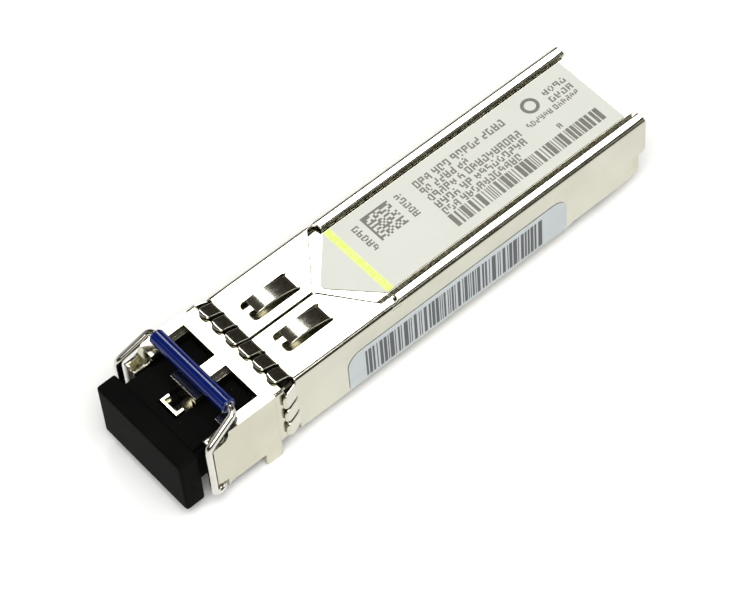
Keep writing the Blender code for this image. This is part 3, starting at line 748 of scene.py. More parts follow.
def rounded_loop(corners: Sequence[Corner], step: float = 18.0, straight: float = 89.0) -> list[Point]:
    """Closed outline whose corners are turned into arcs.

    Args:
        corners: each corner's place and radius.
        step: degrees between the points of an arc.
        straight: half angle in degrees above which a corner is left as it is.

    Returns:
        The outline's points.
    """
    loop = []
    places = [Vector(corner[:2]) for corner in corners]
    for k, (u, v, radius) in enumerate(corners):
        before, here, after = places[k - 1], places[k], places[(k + 1) % len(corners)]
        back, ahead = before - here, after - here
        half = back.angle(ahead) / 2
        if radius <= 0 or half > math.radians(straight):
            loop.append((u, v))
            continue
        radius = min(radius, math.tan(half) * min(back.length, ahead.length) / 2)
        steps = max(2, round((180 - math.degrees(2 * half)) / step))
        loop += [(turn.x, turn.y) for turn in round_corner(before, here, after, radius, steps)]
    return loop


def square(u: Span, v: Span) -> list[Point]:
    """Outline of a rectangle."""
    return [(u[0], v[0]), (u[1], v[0]), (u[1], v[1]), (u[0], v[1])]


def densified(loop: Sequence[Point], spacing: float) -> list[Point]:
    """The same outline with no two neighbouring points further apart than spacing.

    Args:
        loop: the outline.
        spacing: largest distance between neighbours in millimetres.

    Returns:
        The outline with more points.
    """
    result = []
    for start, end in zip(loop, [*loop[1:], loop[0]]):
        pieces = max(1, math.ceil(math.dist(start, end) / spacing))
        result += [(start[0] + (end[0] - start[0]) * k / pieces,
                    start[1] + (end[1] - start[1]) * k / pieces) for k in range(pieces)]
    return result


def anticlockwise(loop: Sequence[Point]) -> list[Point]:
    """The same outline, going round anticlockwise."""
    area = sum(a[0] * b[1] - b[0] * a[1] for a, b in zip(loop, [*loop[1:], loop[0]]))
    return list(loop) if area > 0 else list(reversed(loop))


@dataclass
class SheetPlan:
    """Flat plan of a thin sheet, with what is printed on its outer face."""

    outline: list[Point]
    holes: list[list[Point]] = field(default_factory=list)
    prints: list[tuple[int, list[Point]]] = field(default_factory=list)
    lattice: list[Point] = field(default_factory=list)
    spacing: float = 0.15
    clear_share: float = 0.6
    merge_mm: float = 1e-5

    def triangles(self) -> tuple[list[Point], list[tuple[int, int, int]], list[int]]:
        """Cut the plan into triangles.

        Returns:
            The points, the triangles and each triangle's material number.
        """
        loops = [densified(anticlockwise(loop), self.spacing) for loop in (self.outline, *self.holes)]
        border = [point for loop in loops for point in loop]
        tree = KDTree(len(border))
        for k, point in enumerate(border):
            tree.insert((*point, 0.0), k)
        tree.balance()
        margin = self.clear_share * self.spacing
        inner = [point for point in self.lattice if tree.find((*point, 0.0))[2] > margin]
        loops += [anticlockwise(loop) for _, loop in self.prints]
        points, faces = [], []
        for loop in loops:
            faces.append(list(range(len(points), len(points) + len(loop))))
            points += loop
        points += inner
        vectors = [Vector(point) for point in points]
        corners, _, cells, _, _, sources = delaunay_2d_cdt(vectors, [], faces, 0, self.merge_mm)
        first_print = 1 + len(self.holes)
        hole_numbers = set(range(1, first_print))
        kept, numbers = [], []
        for cell, source in zip(cells, sources):
            if 0 not in source or hole_numbers & set(source):
                continue
            marks = [k for k in source if k >= first_print]
            kept.append(tuple(cell))
            numbers.append(self.prints[marks[0] - first_print][0] if marks else 0)
        return [(corner.x, corner.y) for corner in corners], kept, numbers


def sheet_mesh(name: str, plan: SheetPlan, place: Place, thickness: float, easing: float,
               datum: Datum) -> bpy.types.Mesh:
    """Fold a flat plan into a closed sheet with eased edges.

    Args:
        name: the mesh's name.
        plan: the flat plan.
        place: gives the middle surface's place and outward normal for a point of the plan.
        thickness: the sheet's thickness in millimetres.
        easing: radius of its worn edges in millimetres.
        datum: where the module sits.

    Returns:
        The new mesh in scene metres, with its own normals.
    """
    points, cells, numbers = plan.triangles()
    folded = [place(*point) for point in points]
    first = [folded[k][0] for k in cells[0]]
    facing = (first[1] - first[0]).cross(first[2] - first[0]).dot(folded[cells[0][0]][1])
    uses: dict[frozenset, list[tuple[int, int]]] = {}
    for cell in cells:
        for k in range(3):
            edge = (cell[k], cell[(k + 1) % 3])
            uses.setdefault(frozenset(edge), []).append(edge)
    border = [edges[0] for edges in uses.values() if len(edges) == 1]
    outward = {}
    for start, end in border:
        along = Vector(points[end]) - Vector(points[start])
        across = Vector((along.y, -along.x)).normalized()
        for k in (start, end):
            outward[k] = outward.get(k, Vector((0.0, 0.0))) + across
    outs = {k: sideways(points[k], direction, folded[k], place) for k, direction in outward.items()}
    used = sorted({k for cell in cells for k in cell})
    places, normals, faces, materials = [], [], [], []
    top, bottom = {}, {}
    half = thickness / 2
    still = Vector((0.0, 0.0, 0.0))
    for level, sign in ((top, 1), (bottom, -1)):
        for k in used:
            level[k] = len(places)
            places.append(folded[k][0] + folded[k][1] * half * sign - outs.get(k, still) * easing)
            normals.append(folded[k][1] * sign)
    for cell, number in zip(cells, numbers):
        turn = cell if facing > 0 else cell[::-1]
        faces.append([top[k] for k in turn])
        faces.append([bottom[k] for k in turn[::-1]])
        materials += [number, 0]
    rings = edge_rings(folded, outs, half, easing, places, normals)
    for start, end in border:
        near = [top[start], *rings[start], bottom[start]]
        far = [top[end], *rings[end], bottom[end]]
        if facing < 0:
            near, far = far, near
        for k in range(len(near) - 1):
            faces.append([near[k], near[k + 1], far[k + 1], far[k]])
            materials.append(0)
    mesh = bpy.data.meshes.new(name)
    mesh.from_pydata([datum.metres(p) for p in places], [], faces)
    mesh.polygons.foreach_set("material_index", materials)
    mesh.shade_smooth()
    mesh.normals_split_custom_set_from_vertices([n.normalized() for n in normals])
    return mesh


def sideways(point: Point, direction: Vector, folded: Placed, place: Place,
             step: float = 0.02) -> Vector:
    """Direction out of a folded sheet at its edge.

    Args:
        point: the border point of the plan.
        direction: direction out of the plan there.
        folded: the folded place and its normal.
        place: the folding.
        step: millimetres to look out by.

    Returns:
        The direction in the module's frame.
    """
    reach = direction.normalized() * step
    middle, normal = folded
    out = place(point[0] + reach.x, point[1] + reach.y)[0] - middle
    return (out - normal * out.dot(normal)).normalized()


def edge_rings(folded: Sequence[Placed], outs: dict[int, Vector], half: float, easing: float,
               places: list[Vector], normals: list[Vector], steps: int = 3) -> dict[int, list[int]]:
    """Add the points that round a sheet's cut edge.

    Args:
        folded: folded places and normals of the plan's points.
        outs: direction out of the sheet, for each border point.
        half: half of the sheet's thickness.
        easing: radius of the edge.
        places: list that the new places are added to.
        normals: list that the new normals are added to.
        steps: points on each rounding.

    Returns:
        For each border point, its new point numbers from the outer face to the inner one.
    """
    rings = {}
    turns = [(math.pi / 2 * j / steps, 1) for j in range(1, steps + 1)]
    turns += [(angle, -1) for angle, _ in reversed(turns)]
    for k, out in outs.items():
        middle, normal = folded[k]
        rings[k] = []
        for angle, sign in turns:
            shift = out * easing * (math.sin(angle) - 1)
            lift = normal * sign * (half - easing * (1 - math.cos(angle)))
            rings[k].append(len(places))
            places.append(middle + shift + lift)
            normals.append(out * math.sin(angle) + normal * sign * math.cos(angle))
    return rings


# ---------------------------------------------------------------- folded shell

def soft_bump(share: float, crest: float, reach: Span, powers: Span, root_share: float = 0.12) -> float:
    """Height from 0 to 1 of a formed spring: almost straight flanks and a round crest.

    Args:
        share: how far along it, from 0 at its root to 1 at its tip.
        crest: where its crest is.
        reach: lengths over which it falls to 0 before and after the crest.
        powers: how sharp the crest is on its two sides; 1 is a ridge and 2 a parabola.
        root_share: share of the length over which it rises softly out of the sheet.

    Returns:
        The height.
    """
    side = int(share > crest)
    height = 1 - (abs(share - crest) / reach[side]) ** powers[side]
    root = min(1.0, share / root_share)
    return height * root * root * (3 - 2 * root) if share < crest else height


@dataclass
class OuterShell:
    """One folded sheet: belly, walls, two top flaps, two rails, fingers and grounding leaves."""

    datum: Datum
    half_width: float = 6.7
    height: float = 8.5
    sheet: float = 0.25
    bend_radius: float = 0.5
    edge_wear: float = 0.085
    finger_root: float = -46.0
    finger_length: float = 1.95
    finger_rise: float = 0.55
    finger_slot: float = 0.4
    finger_tip_radius: float = 0.62
    finger_root_radius: float = 0.17
    finger_pitch: float = 2.06
    finger_form: tuple[float, Span, Span] = (0.9, (0.9, 0.3), (1.2, 1.3))
    corner_x: float = 5.86
    side_slots_z: tuple[float, float, float] = (0.93, 3.39, 5.67)
    seam_half_gap: float = 0.11
    notch_apex: float = -38.1
    notch_corner: float = -33.6
    window_x: Point = (1.2, 3.75)
    window_front: float = -44.4
    leaf_x: Point = (1.48, 3.48)
    leaf_root: float = -38.7
    leaf_tip: float = -43.75
    leaf_rise: float = 0.72
    leaf_form: tuple[float, Span, Span] = (0.72, (0.72, 0.5), (1.5, 2.2))
    leaf_clear: Span = (0.05, 0.3)
    window_radii: Span = (0.5, 0.35)
    rail_start: float = -32.6
    rail_inner_x: float = 5.25
    rail_roll: float = 0.25
    rail_lip_z: float = 8.0
    notch_radii: Span = (0.25, 0.4)
    rail_radii: tuple[float, float, float] = (0.4, 0.15, 0.1)
    skirt_step_y: float = -1.8
    skirt_rise: float = 0.17
    skirt_inset: float = 0.1
    skirt_radii: tuple[float, float, float, float] = (0.7, 0.25, 0.8, 0.4)
    belly_end: float = -10.4
    boss_hole: tuple[Span, Span, float] = ((-1.5, 1.5), (-45.4, -43.0), 0.2)
    slope_step: float = 0.01
    plan_spacing: float = 0.12
    belly_stations: tuple[float, float, int] = (0.4, 0.72, 8)
    top_stations: tuple[float, ...] = (0.4, 0.75, 1.1, 1.62, 2.05, 2.48, 2.9, 3.34, 4.0, 4.5, 5.0, 5.5)
    long_stations: tuple[float, float, int] = (-37.5, 1.25, 30)

    def __post_init__(self) -> None:
        """Work out the developed lengths round the section."""
        self.turn = self.bend_radius - self.sheet / 2
        self.flat = self.half_width - self.bend_radius
        self.arc = self.turn * math.pi / 2
        self.wall = self.height - 2 * self.bend_radius
        self.wall_start = self.flat + self.arc
        self.top_bend = self.wall_start + self.wall
        self.top_start = self.top_bend + self.arc
        self.roll_x = self.rail_inner_x + self.sheet / 2 + self.rail_roll
        self.roll_start = self.top_start + self.flat - self.roll_x
        self.roll_end = self.roll_start + self.rail_roll * math.pi / 2
        self.lip_end = self.roll_end + self.height - self.sheet / 2 - self.rail_roll - self.rail_lip_z

    def on_top(self, x: float) -> float:
        """Developed distance of a place on the top."""
        return self.top_start + self.flat - x

    def on_wall(self, z: float) -> float:
        """Developed distance of a place on the wall."""
        return self.wall_start + z - self.bend_radius

    def section(self, u: float, rolled: bool) -> tuple[Point, Point]:
        """Middle of the sheet and its outward normal across the module.

        Args:
            u: developed distance from the centre line of the belly.
            rolled: whether the top ends in a rolled rail here.

        Returns:
            The place (x, z) and the normal (x, z).
        """
        mid = self.sheet / 2
        if u <= self.flat:
            return (u, mid), (0.0, -1.0)
        if u <= self.wall_start:
            angle = (u - self.flat) / self.turn
            x, z = math.sin(angle), -math.cos(angle)
            return (self.flat + self.turn * x, self.bend_radius + self.turn * z), (x, z)
        if u <= self.top_bend:
            return (self.half_width - mid, self.bend_radius + u - self.wall_start), (1.0, 0.0)
        if u <= self.top_start:
            angle = (u - self.top_bend) / self.turn
            x, z = math.cos(angle), math.sin(angle)
            middle = self.height - self.bend_radius
            return (self.flat + self.turn * x, middle + self.turn * z), (x, z)
        top = self.height - mid
        if not rolled or u <= self.roll_start:
            return (self.flat - (u - self.top_start), top), (0.0, 1.0)
        angle = (min(u, self.roll_end) - self.roll_start) / self.rail_roll
        x, z = -math.sin(angle), math.cos(angle)
        drop = max(0.0, u - self.roll_end)
        return (self.roll_x + self.rail_roll * x, top - self.rail_roll + self.rail_roll * z - drop), (x, z)

    def lift(self, u: float, y: float) -> float:
        """How far a finger or a leaf stands off the sheet.

        Args:
            u: developed distance from the belly's centre line, on either side.
            y: place along the module.

        Returns:
            The height in millimetres.
        """
        if y < self.finger_root:
            share = (self.finger_root - y) / self.finger_length
            return self.finger_rise * soft_bump(share, *self.finger_form)
        beside, ahead = self.leaf_clear
        in_leaf = self.on_top(self.leaf_x[1]) - beside < u < self.on_top(self.leaf_x[0]) + beside
        if in_leaf and self.window_front + ahead < y < self.leaf_root:
            share = (self.leaf_root - y) / (self.leaf_root - self.leaf_tip)
            return self.leaf_rise * soft_bump(share, *self.leaf_form)
        return 0.0

    def fold(self, u: float, y: float) -> Placed:
        """Middle of the sheet and its outward normal for a point of the flat plan.

        Args:
            u: developed distance, negative on the left half.
            y: place along the module.

        Returns:
            The place and the normal.
        """
        side = math.copysign(1.0, u)
        (x, z), (nx, nz) = self.section(abs(u), y > (self.notch_corner + self.rail_start) / 2)
        rise = self.lift(abs(u), y)
        step = self.slope_step
        slope = (self.lift(abs(u), y - step) - self.lift(abs(u), y + step)) / (2 * step)
        normal = Vector((side * nx, slope, nz)).normalized()
        return Vector((side * (x + nx * rise), y, z + nz * rise)), normal

    def fingers(self) -> list[Point]:
        """Developed limits of each finger on one half, from the belly round to the seam.

        Returns:
            Each finger's low and high limit.
        """
        gap = self.finger_slot / 2
        edges = [self.finger_pitch + gap, 2 * self.finger_pitch - gap]
        edges += [2 * self.finger_pitch + gap, self.corner_x]
        below = [(edges[0], edges[1]), (edges[2], edges[3])]
        tops = [*self.side_slots_z[1:], self.height - self.bend_radius + gap]
        beside = [(self.on_wall(low + gap), self.on_wall(high - gap))
                  for low, high in zip(self.side_slots_z, tops)]
        above = [(self.on_top(high), self.on_top(low)) for low, high in reversed(below)]
        above.append((self.on_top(self.finger_pitch - gap), self.on_top(self.seam_half_gap)))
        return below + beside + above

    def half_outline(self) -> list[Corner]:
        """Corners of the right half of the flat plan, each with its radius.

        Returns:
            The corners from the belly's front round to its rear end.
        """
        root, tip = self.finger_root, self.finger_root - self.finger_length
        inner, outer = self.finger_root_radius, self.finger_tip_radius
        corners = []
        for low, high in self.fingers():
            corners += [(low, root, inner), (low, tip, outer), (high, tip, outer), (high, root, inner)]
        corners.pop()
        seam = self.on_top(self.seam_half_gap)
        skirt = self.on_wall(self.side_slots_z[1] + self.skirt_rise)
        belly = self.wall_start + self.skirt_inset
        places = [
            (seam, self.notch_apex), (self.top_start, self.notch_corner), (self.top_start, self.rail_start),
            (self.lip_end, self.rail_start), (self.lip_end, 0.0), (skirt, 0.0), (skirt, self.skirt_step_y),
            (belly, self.skirt_step_y), (belly, self.belly_end)]
        radii = (*self.notch_radii, *self.rail_radii, *self.skirt_radii)
        return corners + [(*place, radius) for place, radius in zip(places, radii)]

    def window(self) -> list[Corner]:
        """Opening round a leaf on the right half: a wide U whose arms end in round relief slots.

        Returns:
            The opening's corners with their radii.
        """
        near, far = (self.on_top(x) for x in self.window_x)
        leaf_near, leaf_far = (self.on_top(x) for x in self.leaf_x)
        slot = abs(near - leaf_near) / 2
        root, (outer, inner) = self.leaf_root, self.window_radii
        return [(near, root, slot), (near, self.window_front, outer), (far, self.window_front, outer),
                (far, root, slot), (leaf_far, root, slot), (leaf_far, self.leaf_tip, inner),
                (leaf_near, self.leaf_tip, inner), (leaf_near, root, slot)]

    def stations(self) -> list[Point]:
        """Points inside the plan, close together where the sheet bends.

        Returns:
            The points on both halves.
        """
        bends = [self.flat, self.top_bend]
        across = [start + self.arc * k / 7 for start in bends for k in range(8)]
        across += [self.roll_start + (self.roll_end - self.roll_start) * k / 6 for k in range(7)]
        across += [self.wall_start + self.wall * k / 9 for k in range(1, 9)]
        first, pitch, count = self.belly_stations
        across += [first + k * pitch for k in range(count)]
        across += [self.on_top(x) for x in self.top_stations]
        along = [self.finger_root - self.finger_length * k / 20 for k in range(21)]
        leaf = self.leaf_root - self.leaf_tip
        along += [self.leaf_root - leaf * k / 34 for k in range(35)]
        first, pitch, count = self.long_stations
        along += [first + pitch * k for k in range(count)]
        return [(side * u, y) for u in across for y in along for side in (1, -1)]

    def build(self) -> None:
        """Make the shell and put it in the place of the plain one."""
        half = self.half_outline()
        corners = [(-u, v, r) for u, v, r in reversed(half)] + half
        mirrored = [[(-u, v, r) for u, v, r in self.window()], self.window()]
        hole_x, hole_y, hole_radius = self.boss_hole
        boss = [(*place, hole_radius) for place in square(hole_x, hole_y)]
        plan = SheetPlan(rounded_loop(corners), [rounded_loop(loop) for loop in (*mirrored, boss)],
                         [], self.stations(), self.plan_spacing)
        mesh = sheet_mesh("folded_shell", plan, self.fold, self.sheet, self.edge_wear, self.datum)
        add_piece("folded_shell", mesh, Body.ROOT, [BrightNickelSheet()], ["outer_shell"])


# ---------------------------------------------------------------- castings

@dataclass
class Castings:
    """Die-cast housing with its port nose, and the cover of its tub.

    Faces inside the recess box that don't look up, such as the walls of the ports, get a dark tint as
    painted shade.
    """

    datum: Datum
    recess_half_width: float = 5.75
    recess_y: Point = (-53.6, -48.8)
    recess_top: float = 8.5
    upward: float = 0.9
    edge: float = 0.09
    cover_edge: float = 0.2
    clamp_edge: float = 0.07

    def build(self) -> None:
        """Ease the castings' edges and plate them."""
        housing = eased_copy("base_housing", self.edge)
        add_piece("cast_housing", housing, Body.ROOT, [NickelCasting(), RecessShadeCasting()],
                  ["base_housing"])
        # Painted shade: faces in the port recess that don't look up take the dark casting finish.
        low = self.datum.metres((-self.recess_half_width, self.recess_y[0], 0.0))
        high = self.datum.metres((self.recess_half_width, self.recess_y[1], self.recess_top))
        for face in housing.polygons:
            inside = all(a < c < b for a, c, b in zip(low, face.center, high))
            face.material_index = int(inside and face.normal.z < self.upward)
        for name, node, edge in (("cast_cover", "top_cover", self.cover_edge),
                                 ("cast_clamp", "optics_clamp", self.clamp_edge)):
            add_piece(name, eased_copy(node, edge), Body.ROOT, [NickelCasting()], [node])


@dataclass
class FingerSeat:
    """Lip cast round the back of the nose, which the finger tips stand over."""

    datum: Datum
    half_width: float = 6.86
    top: float = 8.61
    foot: float = 1.0
    front: float = -48.72
    lip_rear: float = -47.5
    lip_radius: float = 0.2
    bed_drop: float = 0.62
    bed_rear: float = -46.3
    corner: float = 0.35
    rest: float = 0.06
    front_drop: float = 0.12
    bed_depth: float = 0.25
    arc_step: int = 15
    sharp: float = 40.0
    shade_clear: float = 0.01

    def profile(self) -> list[Point]:
        """Length and depth of each point, from the nose back under the fingers.

        Returns:
            The profile's points.
        """
        points = [(self.front, self.front_drop), (self.front, 0.0)]
        for degrees in range(0, 91, self.arc_step):
            angle = math.radians(degrees)
            points.append((self.lip_rear + self.lip_radius * (math.sin(angle) - 1),
                           self.lip_radius * (1 - math.cos(angle))))
        points.append((self.lip_rear, self.bed_drop))
        return points + [(self.bed_rear, self.bed_drop), (self.bed_rear, self.bed_drop + self.bed_depth)]

    def path(self) -> list[Placed]:
        """Places and inward directions up one side, over the top and down the other.

        Each corner has a point just before and just after it, so that the flats stay evenly shaded.

        Returns:
            Each place with its inward direction.
        """
        turns = [(Vector((self.half_width, 0.0, self.foot)), Vector((-1.0, 0.0, 0.0)))]
        step = self.arc_step
        angles = range(-step, 91 + step, step)
        for side, order in ((1, angles), (-1, angles[::-1])):
            for degrees in order:
                angle = math.radians(min(90, max(0, degrees)))
                out = Vector((side * math.cos(angle), 0.0, math.sin(angle)))
                middle = Vector((side * (self.half_width - self.corner), 0.0, self.top - self.corner))
                past = Vector((-side * self.rest * (degrees > 90), 0.0, -self.rest * (degrees < 0)))
                turns.append((middle + out * self.corner + past, -out))
        turns.append((Vector((-self.half_width, 0.0, self.foot)), Vector((1.0, 0.0, 0.0))))
        return turns

    def build(self) -> None:
        """Sweep the profile round the nose."""
        shape = bmesh.new()
        rows = []
        profile = self.profile()
        for place, inward in self.path():
            rows.append([shape.verts.new(self.datum.metres(place + inward * depth + Vector((0.0, y, 0.0))))
                         for y, depth in profile])
        count = len(profile)
        for near, far in zip(rows, rows[1:]):
            for k in range(count):
                j = (k + 1) % count
                shape.faces.new((near[k], near[j], far[j], far[k]))
        shape.faces.new(rows[0][::-1])
        shape.faces.new(rows[-1])
        mesh = swept_mesh(shape, "finger_seat", self.sharp)
        seat = add_piece("finger_seat", mesh, Body.ROOT, [NickelCasting(), RecessShadeCasting()])
        # Painted shade: faces behind the lip, on the bed under the finger tips, take the dark casting
        # finish.
        limit = self.datum.metres((0.0, self.lip_rear - self.shade_clear, 0.0)).y
        for face in seat.data.polygons:
            face.material_index = int(face.center.y > limit)


# ---------------------------------------------------------------- bail

@dataclass
class Bail:
    """Bent wire handle with its cranked axle, and the moulded tube on its grip."""

    datum: Datum
    wire_radius: float = 0.4
    pivot: Point = (-55.75, 0.65)
    arm_x: float = 6.9
    arm_front: float = -57.0
    shoulder_z: float = 8.15
    grip_x: float = 6.35
    grip: Point = (-53.05, 10.1)
    crank_x: Point = (1.1, 1.9)
    crank_offset: float = 0.6
    bend_radii: tuple[float, ...] = (0.7, 1.0, 0.6, 0.55, 0.5, 0.5)
    tube_radius: float = 0.85
    tube_half_length: float = 5.5
    tube_clear: float = 0.04
    tube_edge: float = 0.1
    tube_flare: tuple[Corner, ...] = ((0.0, 0.0, 0.03), (0.6, 0.0, 0.02), (1.0, 0.35, 0.01), (1.0, 0.2, 0.0))
    tube_mouth: tuple[Span, ...] = ((0.0, 0.08), (0.02, 0.02), (0.08, 0.0))
    tube_steps: int = 72
    tube_sharp: float = 50.0

    def route(self) -> list[Vector]:
        """Centre line of the wire, from its butt joint in the tube right round to it again.

        Returns:
            The line's points in module millimetres.
        """
        grip_y, grip_z = self.grip
        pivot_y, pivot_z = self.pivot
        crank_y = pivot_y - self.crank_offset
        places = [Vector(place) for place in (
            (0.0, grip_y, grip_z), (self.grip_x, grip_y, grip_z),
            (self.arm_x, self.arm_front, self.shoulder_z), (self.arm_x, self.arm_front, pivot_z),
            (self.arm_x, pivot_y, pivot_z), (self.crank_x[1], pivot_y, pivot_z),
            (self.crank_x[0], crank_y, pivot_z), (0.0, crank_y, pivot_z))]
        right = [places[0]]
        for k, radius in enumerate(self.bend_radii, 1):
            right += round_corner(places[k - 1], places[k], places[k + 1], radius)
        right.append(places[-1])
        left = [Vector((-p.x, p.y, p.z)) for p in reversed(right[1:-1])]
        return right + left

    def build(self) -> None:
        """Make the wire and the tube."""
        curve = bpy.data.curves.new("bent_wire", "CURVE")
        curve.dimensions = "3D"
        curve.bevel_depth = self.wire_radius * MM
        curve.bevel_resolution = 8
        route = self.route()
        spline = curve.splines.new("POLY")
        spline.points.add(len(route) - 1)
        for point, place in zip(spline.points, route):
            point.co = (*self.datum.metres(place), 1.0)
        spline.use_cyclic_u = True
        spline.use_smooth = True
        add_piece("bent_wire", curve, Body.BAIL, [DrawnStainlessWire()], ["bail_wire"])
        add_piece("grip_tube", self.tube(), Body.BAIL, [BluePolypropylene()], ["bail_sleeve"])

    def tube(self) -> bpy.types.Mesh:
        """Tube cut from extruded stock: ends barely flared by the knife, and a close bore.

        Returns:
            The tube's mesh.
        """
        end, outer, edge = self.tube_half_length, self.tube_radius, self.tube_edge
        inner = self.wire_radius + self.tube_clear
        half = [(end * share - back, outer - drop) for share, back, drop in self.tube_flare]
        half += [(end - edge + edge * math.sin(a), outer - edge + edge * math.cos(a))
                 for a in (0.0, 0.4, 0.8, 1.2, math.pi / 2)]
        half += [(end - back, inner + rise) for back, rise in self.tube_mouth]
        profile = [(-x, r) for x, r in reversed(half[1:])] + half
        grip_y, grip_z = self.grip
        shape = bmesh.new()
        loop = [shape.verts.new(self.datum.metres((x, grip_y + r, grip_z))) for x, r in profile]
        edges = [shape.edges.new(pair) for pair in zip(loop, [*loop[1:], loop[0]])]
        bmesh.ops.spin(shape, geom=[*loop, *edges], cent=self.datum.metres((0.0, grip_y, grip_z)),
                       axis=(1, 0, 0), angle=2 * math.pi, steps=self.tube_steps, use_merge=True)
        bmesh.ops.remove_doubles(shape, verts=shape.verts, dist=WELD_MM * MM)
        return swept_mesh(shape, "grip_tube", self.tube_sharp)


# ---------------------------------------------------------------- plug, latch and inside

@dataclass
class DustPlug:
    """Moulded plug with a thick head and two prongs."""

    edge: float = 0.1

    def build(self) -> None:
        """Ease the plug's edges as the mould leaves them."""
        plug = eased_copy("dust_plug", self.edge, 3, 50.0)
        add_piece("moulded_plug", plug, Body.PLUG, [BlackElastomer()], ["dust_plug"])


@dataclass
class Latch:
    """Rocking lever on its pin, with its return spring."""

    datum: Datum
    edge: float = 0.06
    spring_top: float = 2.36
    spring_kept: float = 0.36

    def build(self) -> None:
        """Ease the lever's edges, dress its pin and copy the spring onto the root body."""
        lever = eased_copy("latch_lever", self.edge, 2)
        add_piece("stamped_lever", lever, Body.LATCH, [StainlessSteel()], ["latch_lever"])
        dress(StainlessSteel(), "lever_pin")
        coil = add_piece("coil_spring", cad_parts["lever_spring"].data.copy(), Body.ROOT,
                         [SpringSteel()], ["lever_spring"])
        self.datum.metres((0.0, 0.0, self.spring_top))
        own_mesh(coil)


@dataclass
class Optics:
    """Transmitter and receiver with their barrels, cans, sleeves and flex."""

    sides: tuple[str, str] = ("transmitter", "receiver")

    def build(self) -> None:
        """Dress each side's pieces."""
        for side in self.sides:
            dress(StainlessSteel(), f"{side}_barrel")
            dress(GroundZirconia(), f"{side}_ferrule_sleeve")
            dress(GoldPlate(), f"{side}_can")
            dress(PolyimideFilm(), f"{side}_flex")
        dress(ConductiveElastomer(), "optics_gasket")


@dataclass
class Electronics:
    """Circuit board with its gold contacts, and the parts on it."""

    datum: Datum
    board_top: float = 3.25
    board_bottom: float = 2.25
    contact_rear: float = -3.35
    contact_length: float = 3.2
    contact_width: float = 0.5
    contact_pitch: float = 0.8
    contact_count: int = 10
    contact_height: float = 0.012

    def build(self) -> None:
        """Print the contacts and dress the parts."""
        dress(GreenSolderMask(), "circuit_board")
        dress(MouldingCompound(), "laser_driver", "receive_amplifier", "microcontroller", "memory_chip")
        dress(SinteredFerrite(), "transmitter_inductor", "receiver_inductor")
        dress(FiredDielectric(), *[f"capacitor_{k + 1}" for k in range(4)])
        dress(SiliconePad(), "thermal_pad")
        add_piece("edge_contacts", self.contacts(), Body.ROOT, [GoldPlate()])

    def contacts(self) -> bpy.types.Mesh:
        """Ten plated contacts on each face of the board's tail.

        Returns:
            The contacts' mesh.
        """
        shape = bmesh.new()
        middle = self.contact_rear - self.contact_length / 2
        for face, sign in ((self.board_top, 1), (self.board_bottom, -1)):
            for k in range(self.contact_count):
                x = (k - (self.contact_count - 1) / 2) * self.contact_pitch
                centre = self.datum.metres((x, middle, face + sign * self.contact_height / 2))
                size = Vector((self.contact_width, self.contact_length, self.contact_height)) * MM
                matrix = Matrix.Translation(centre) @ Matrix.Diagonal((*size, 1.0))
                bmesh.ops.create_cube(shape, size=1.0, matrix=matrix)
        return mesh_from(shape, "edge_contacts")


# ---------------------------------------------------------------- labels

def bars(length: float, module: float, draw: random.Random) -> list[Point]:
    """Start and end of each bar of a made-up bar pattern.

    Args:
        length: length of the pattern in millimetres.
        module: width of its narrowest bar.
        draw: source of the pattern's widths.

    Returns:
        The bars' limits.
    """
    result, here = [], 0.0
    while here < length - 4 * module:
        dark = module * draw.choice((1, 1, 2, 3, 4))
        light = module * draw.choice((1, 1, 1, 2, 2))
        result.append((here, here + dark))
        here += dark + light
    return result


@dataclass
class GreekedLine:
    """A line of blocks where print would be: no letters, only their weight and rhythm."""

    across: Point
    start: float
    words: tuple[int, ...]
    glyph: float = 0.78
    runs_across: bool = False
    runs: tuple[Point, ...] = ((0, 5), (0, 5), (0, 3), (2, 5), (1, 4))
    stroke_share: float = 0.24
    column_share: float = 0.54
    link_shares: Span = (0.2592, 0.53)
    gap_share: float = 0.4

    def shapes(self, draw: random.Random) -> list[list[Point]]:
        """Small bars that stand for the line's characters.

        Args:
            draw: source of the bars' order.

        Returns:
            Outlines of the bars.
        """
        low, high = self.across
        cell = (high - low) / 5
        shapes, here = [], self.start
        for word in self.words:
            for _ in range(word):
                stroke, second = self.glyph * self.stroke_share, self.glyph * self.column_share
                for column, (base, top) in enumerate(draw.choices(self.runs, k=2)):
                    start = here + column * second
                    shapes.append(self.bar((start, start + stroke), (low + base * cell, low + top * cell)))
                between = (here + self.glyph * self.link_shares[0], here + self.glyph * self.link_shares[1])
                for level in draw.sample(range(3), 2):
                    base = low + level * 2 * cell
                    shapes.append(self.bar(between, (base, base + cell)))
                here += self.glyph
            here += self.glyph * self.gap_share
        return shapes

    def bar(self, along: Point, across: Point) -> list[Point]:
        """One bar, turned the way the line runs."""
        return square(along, across) if self.runs_across else square(across, along)


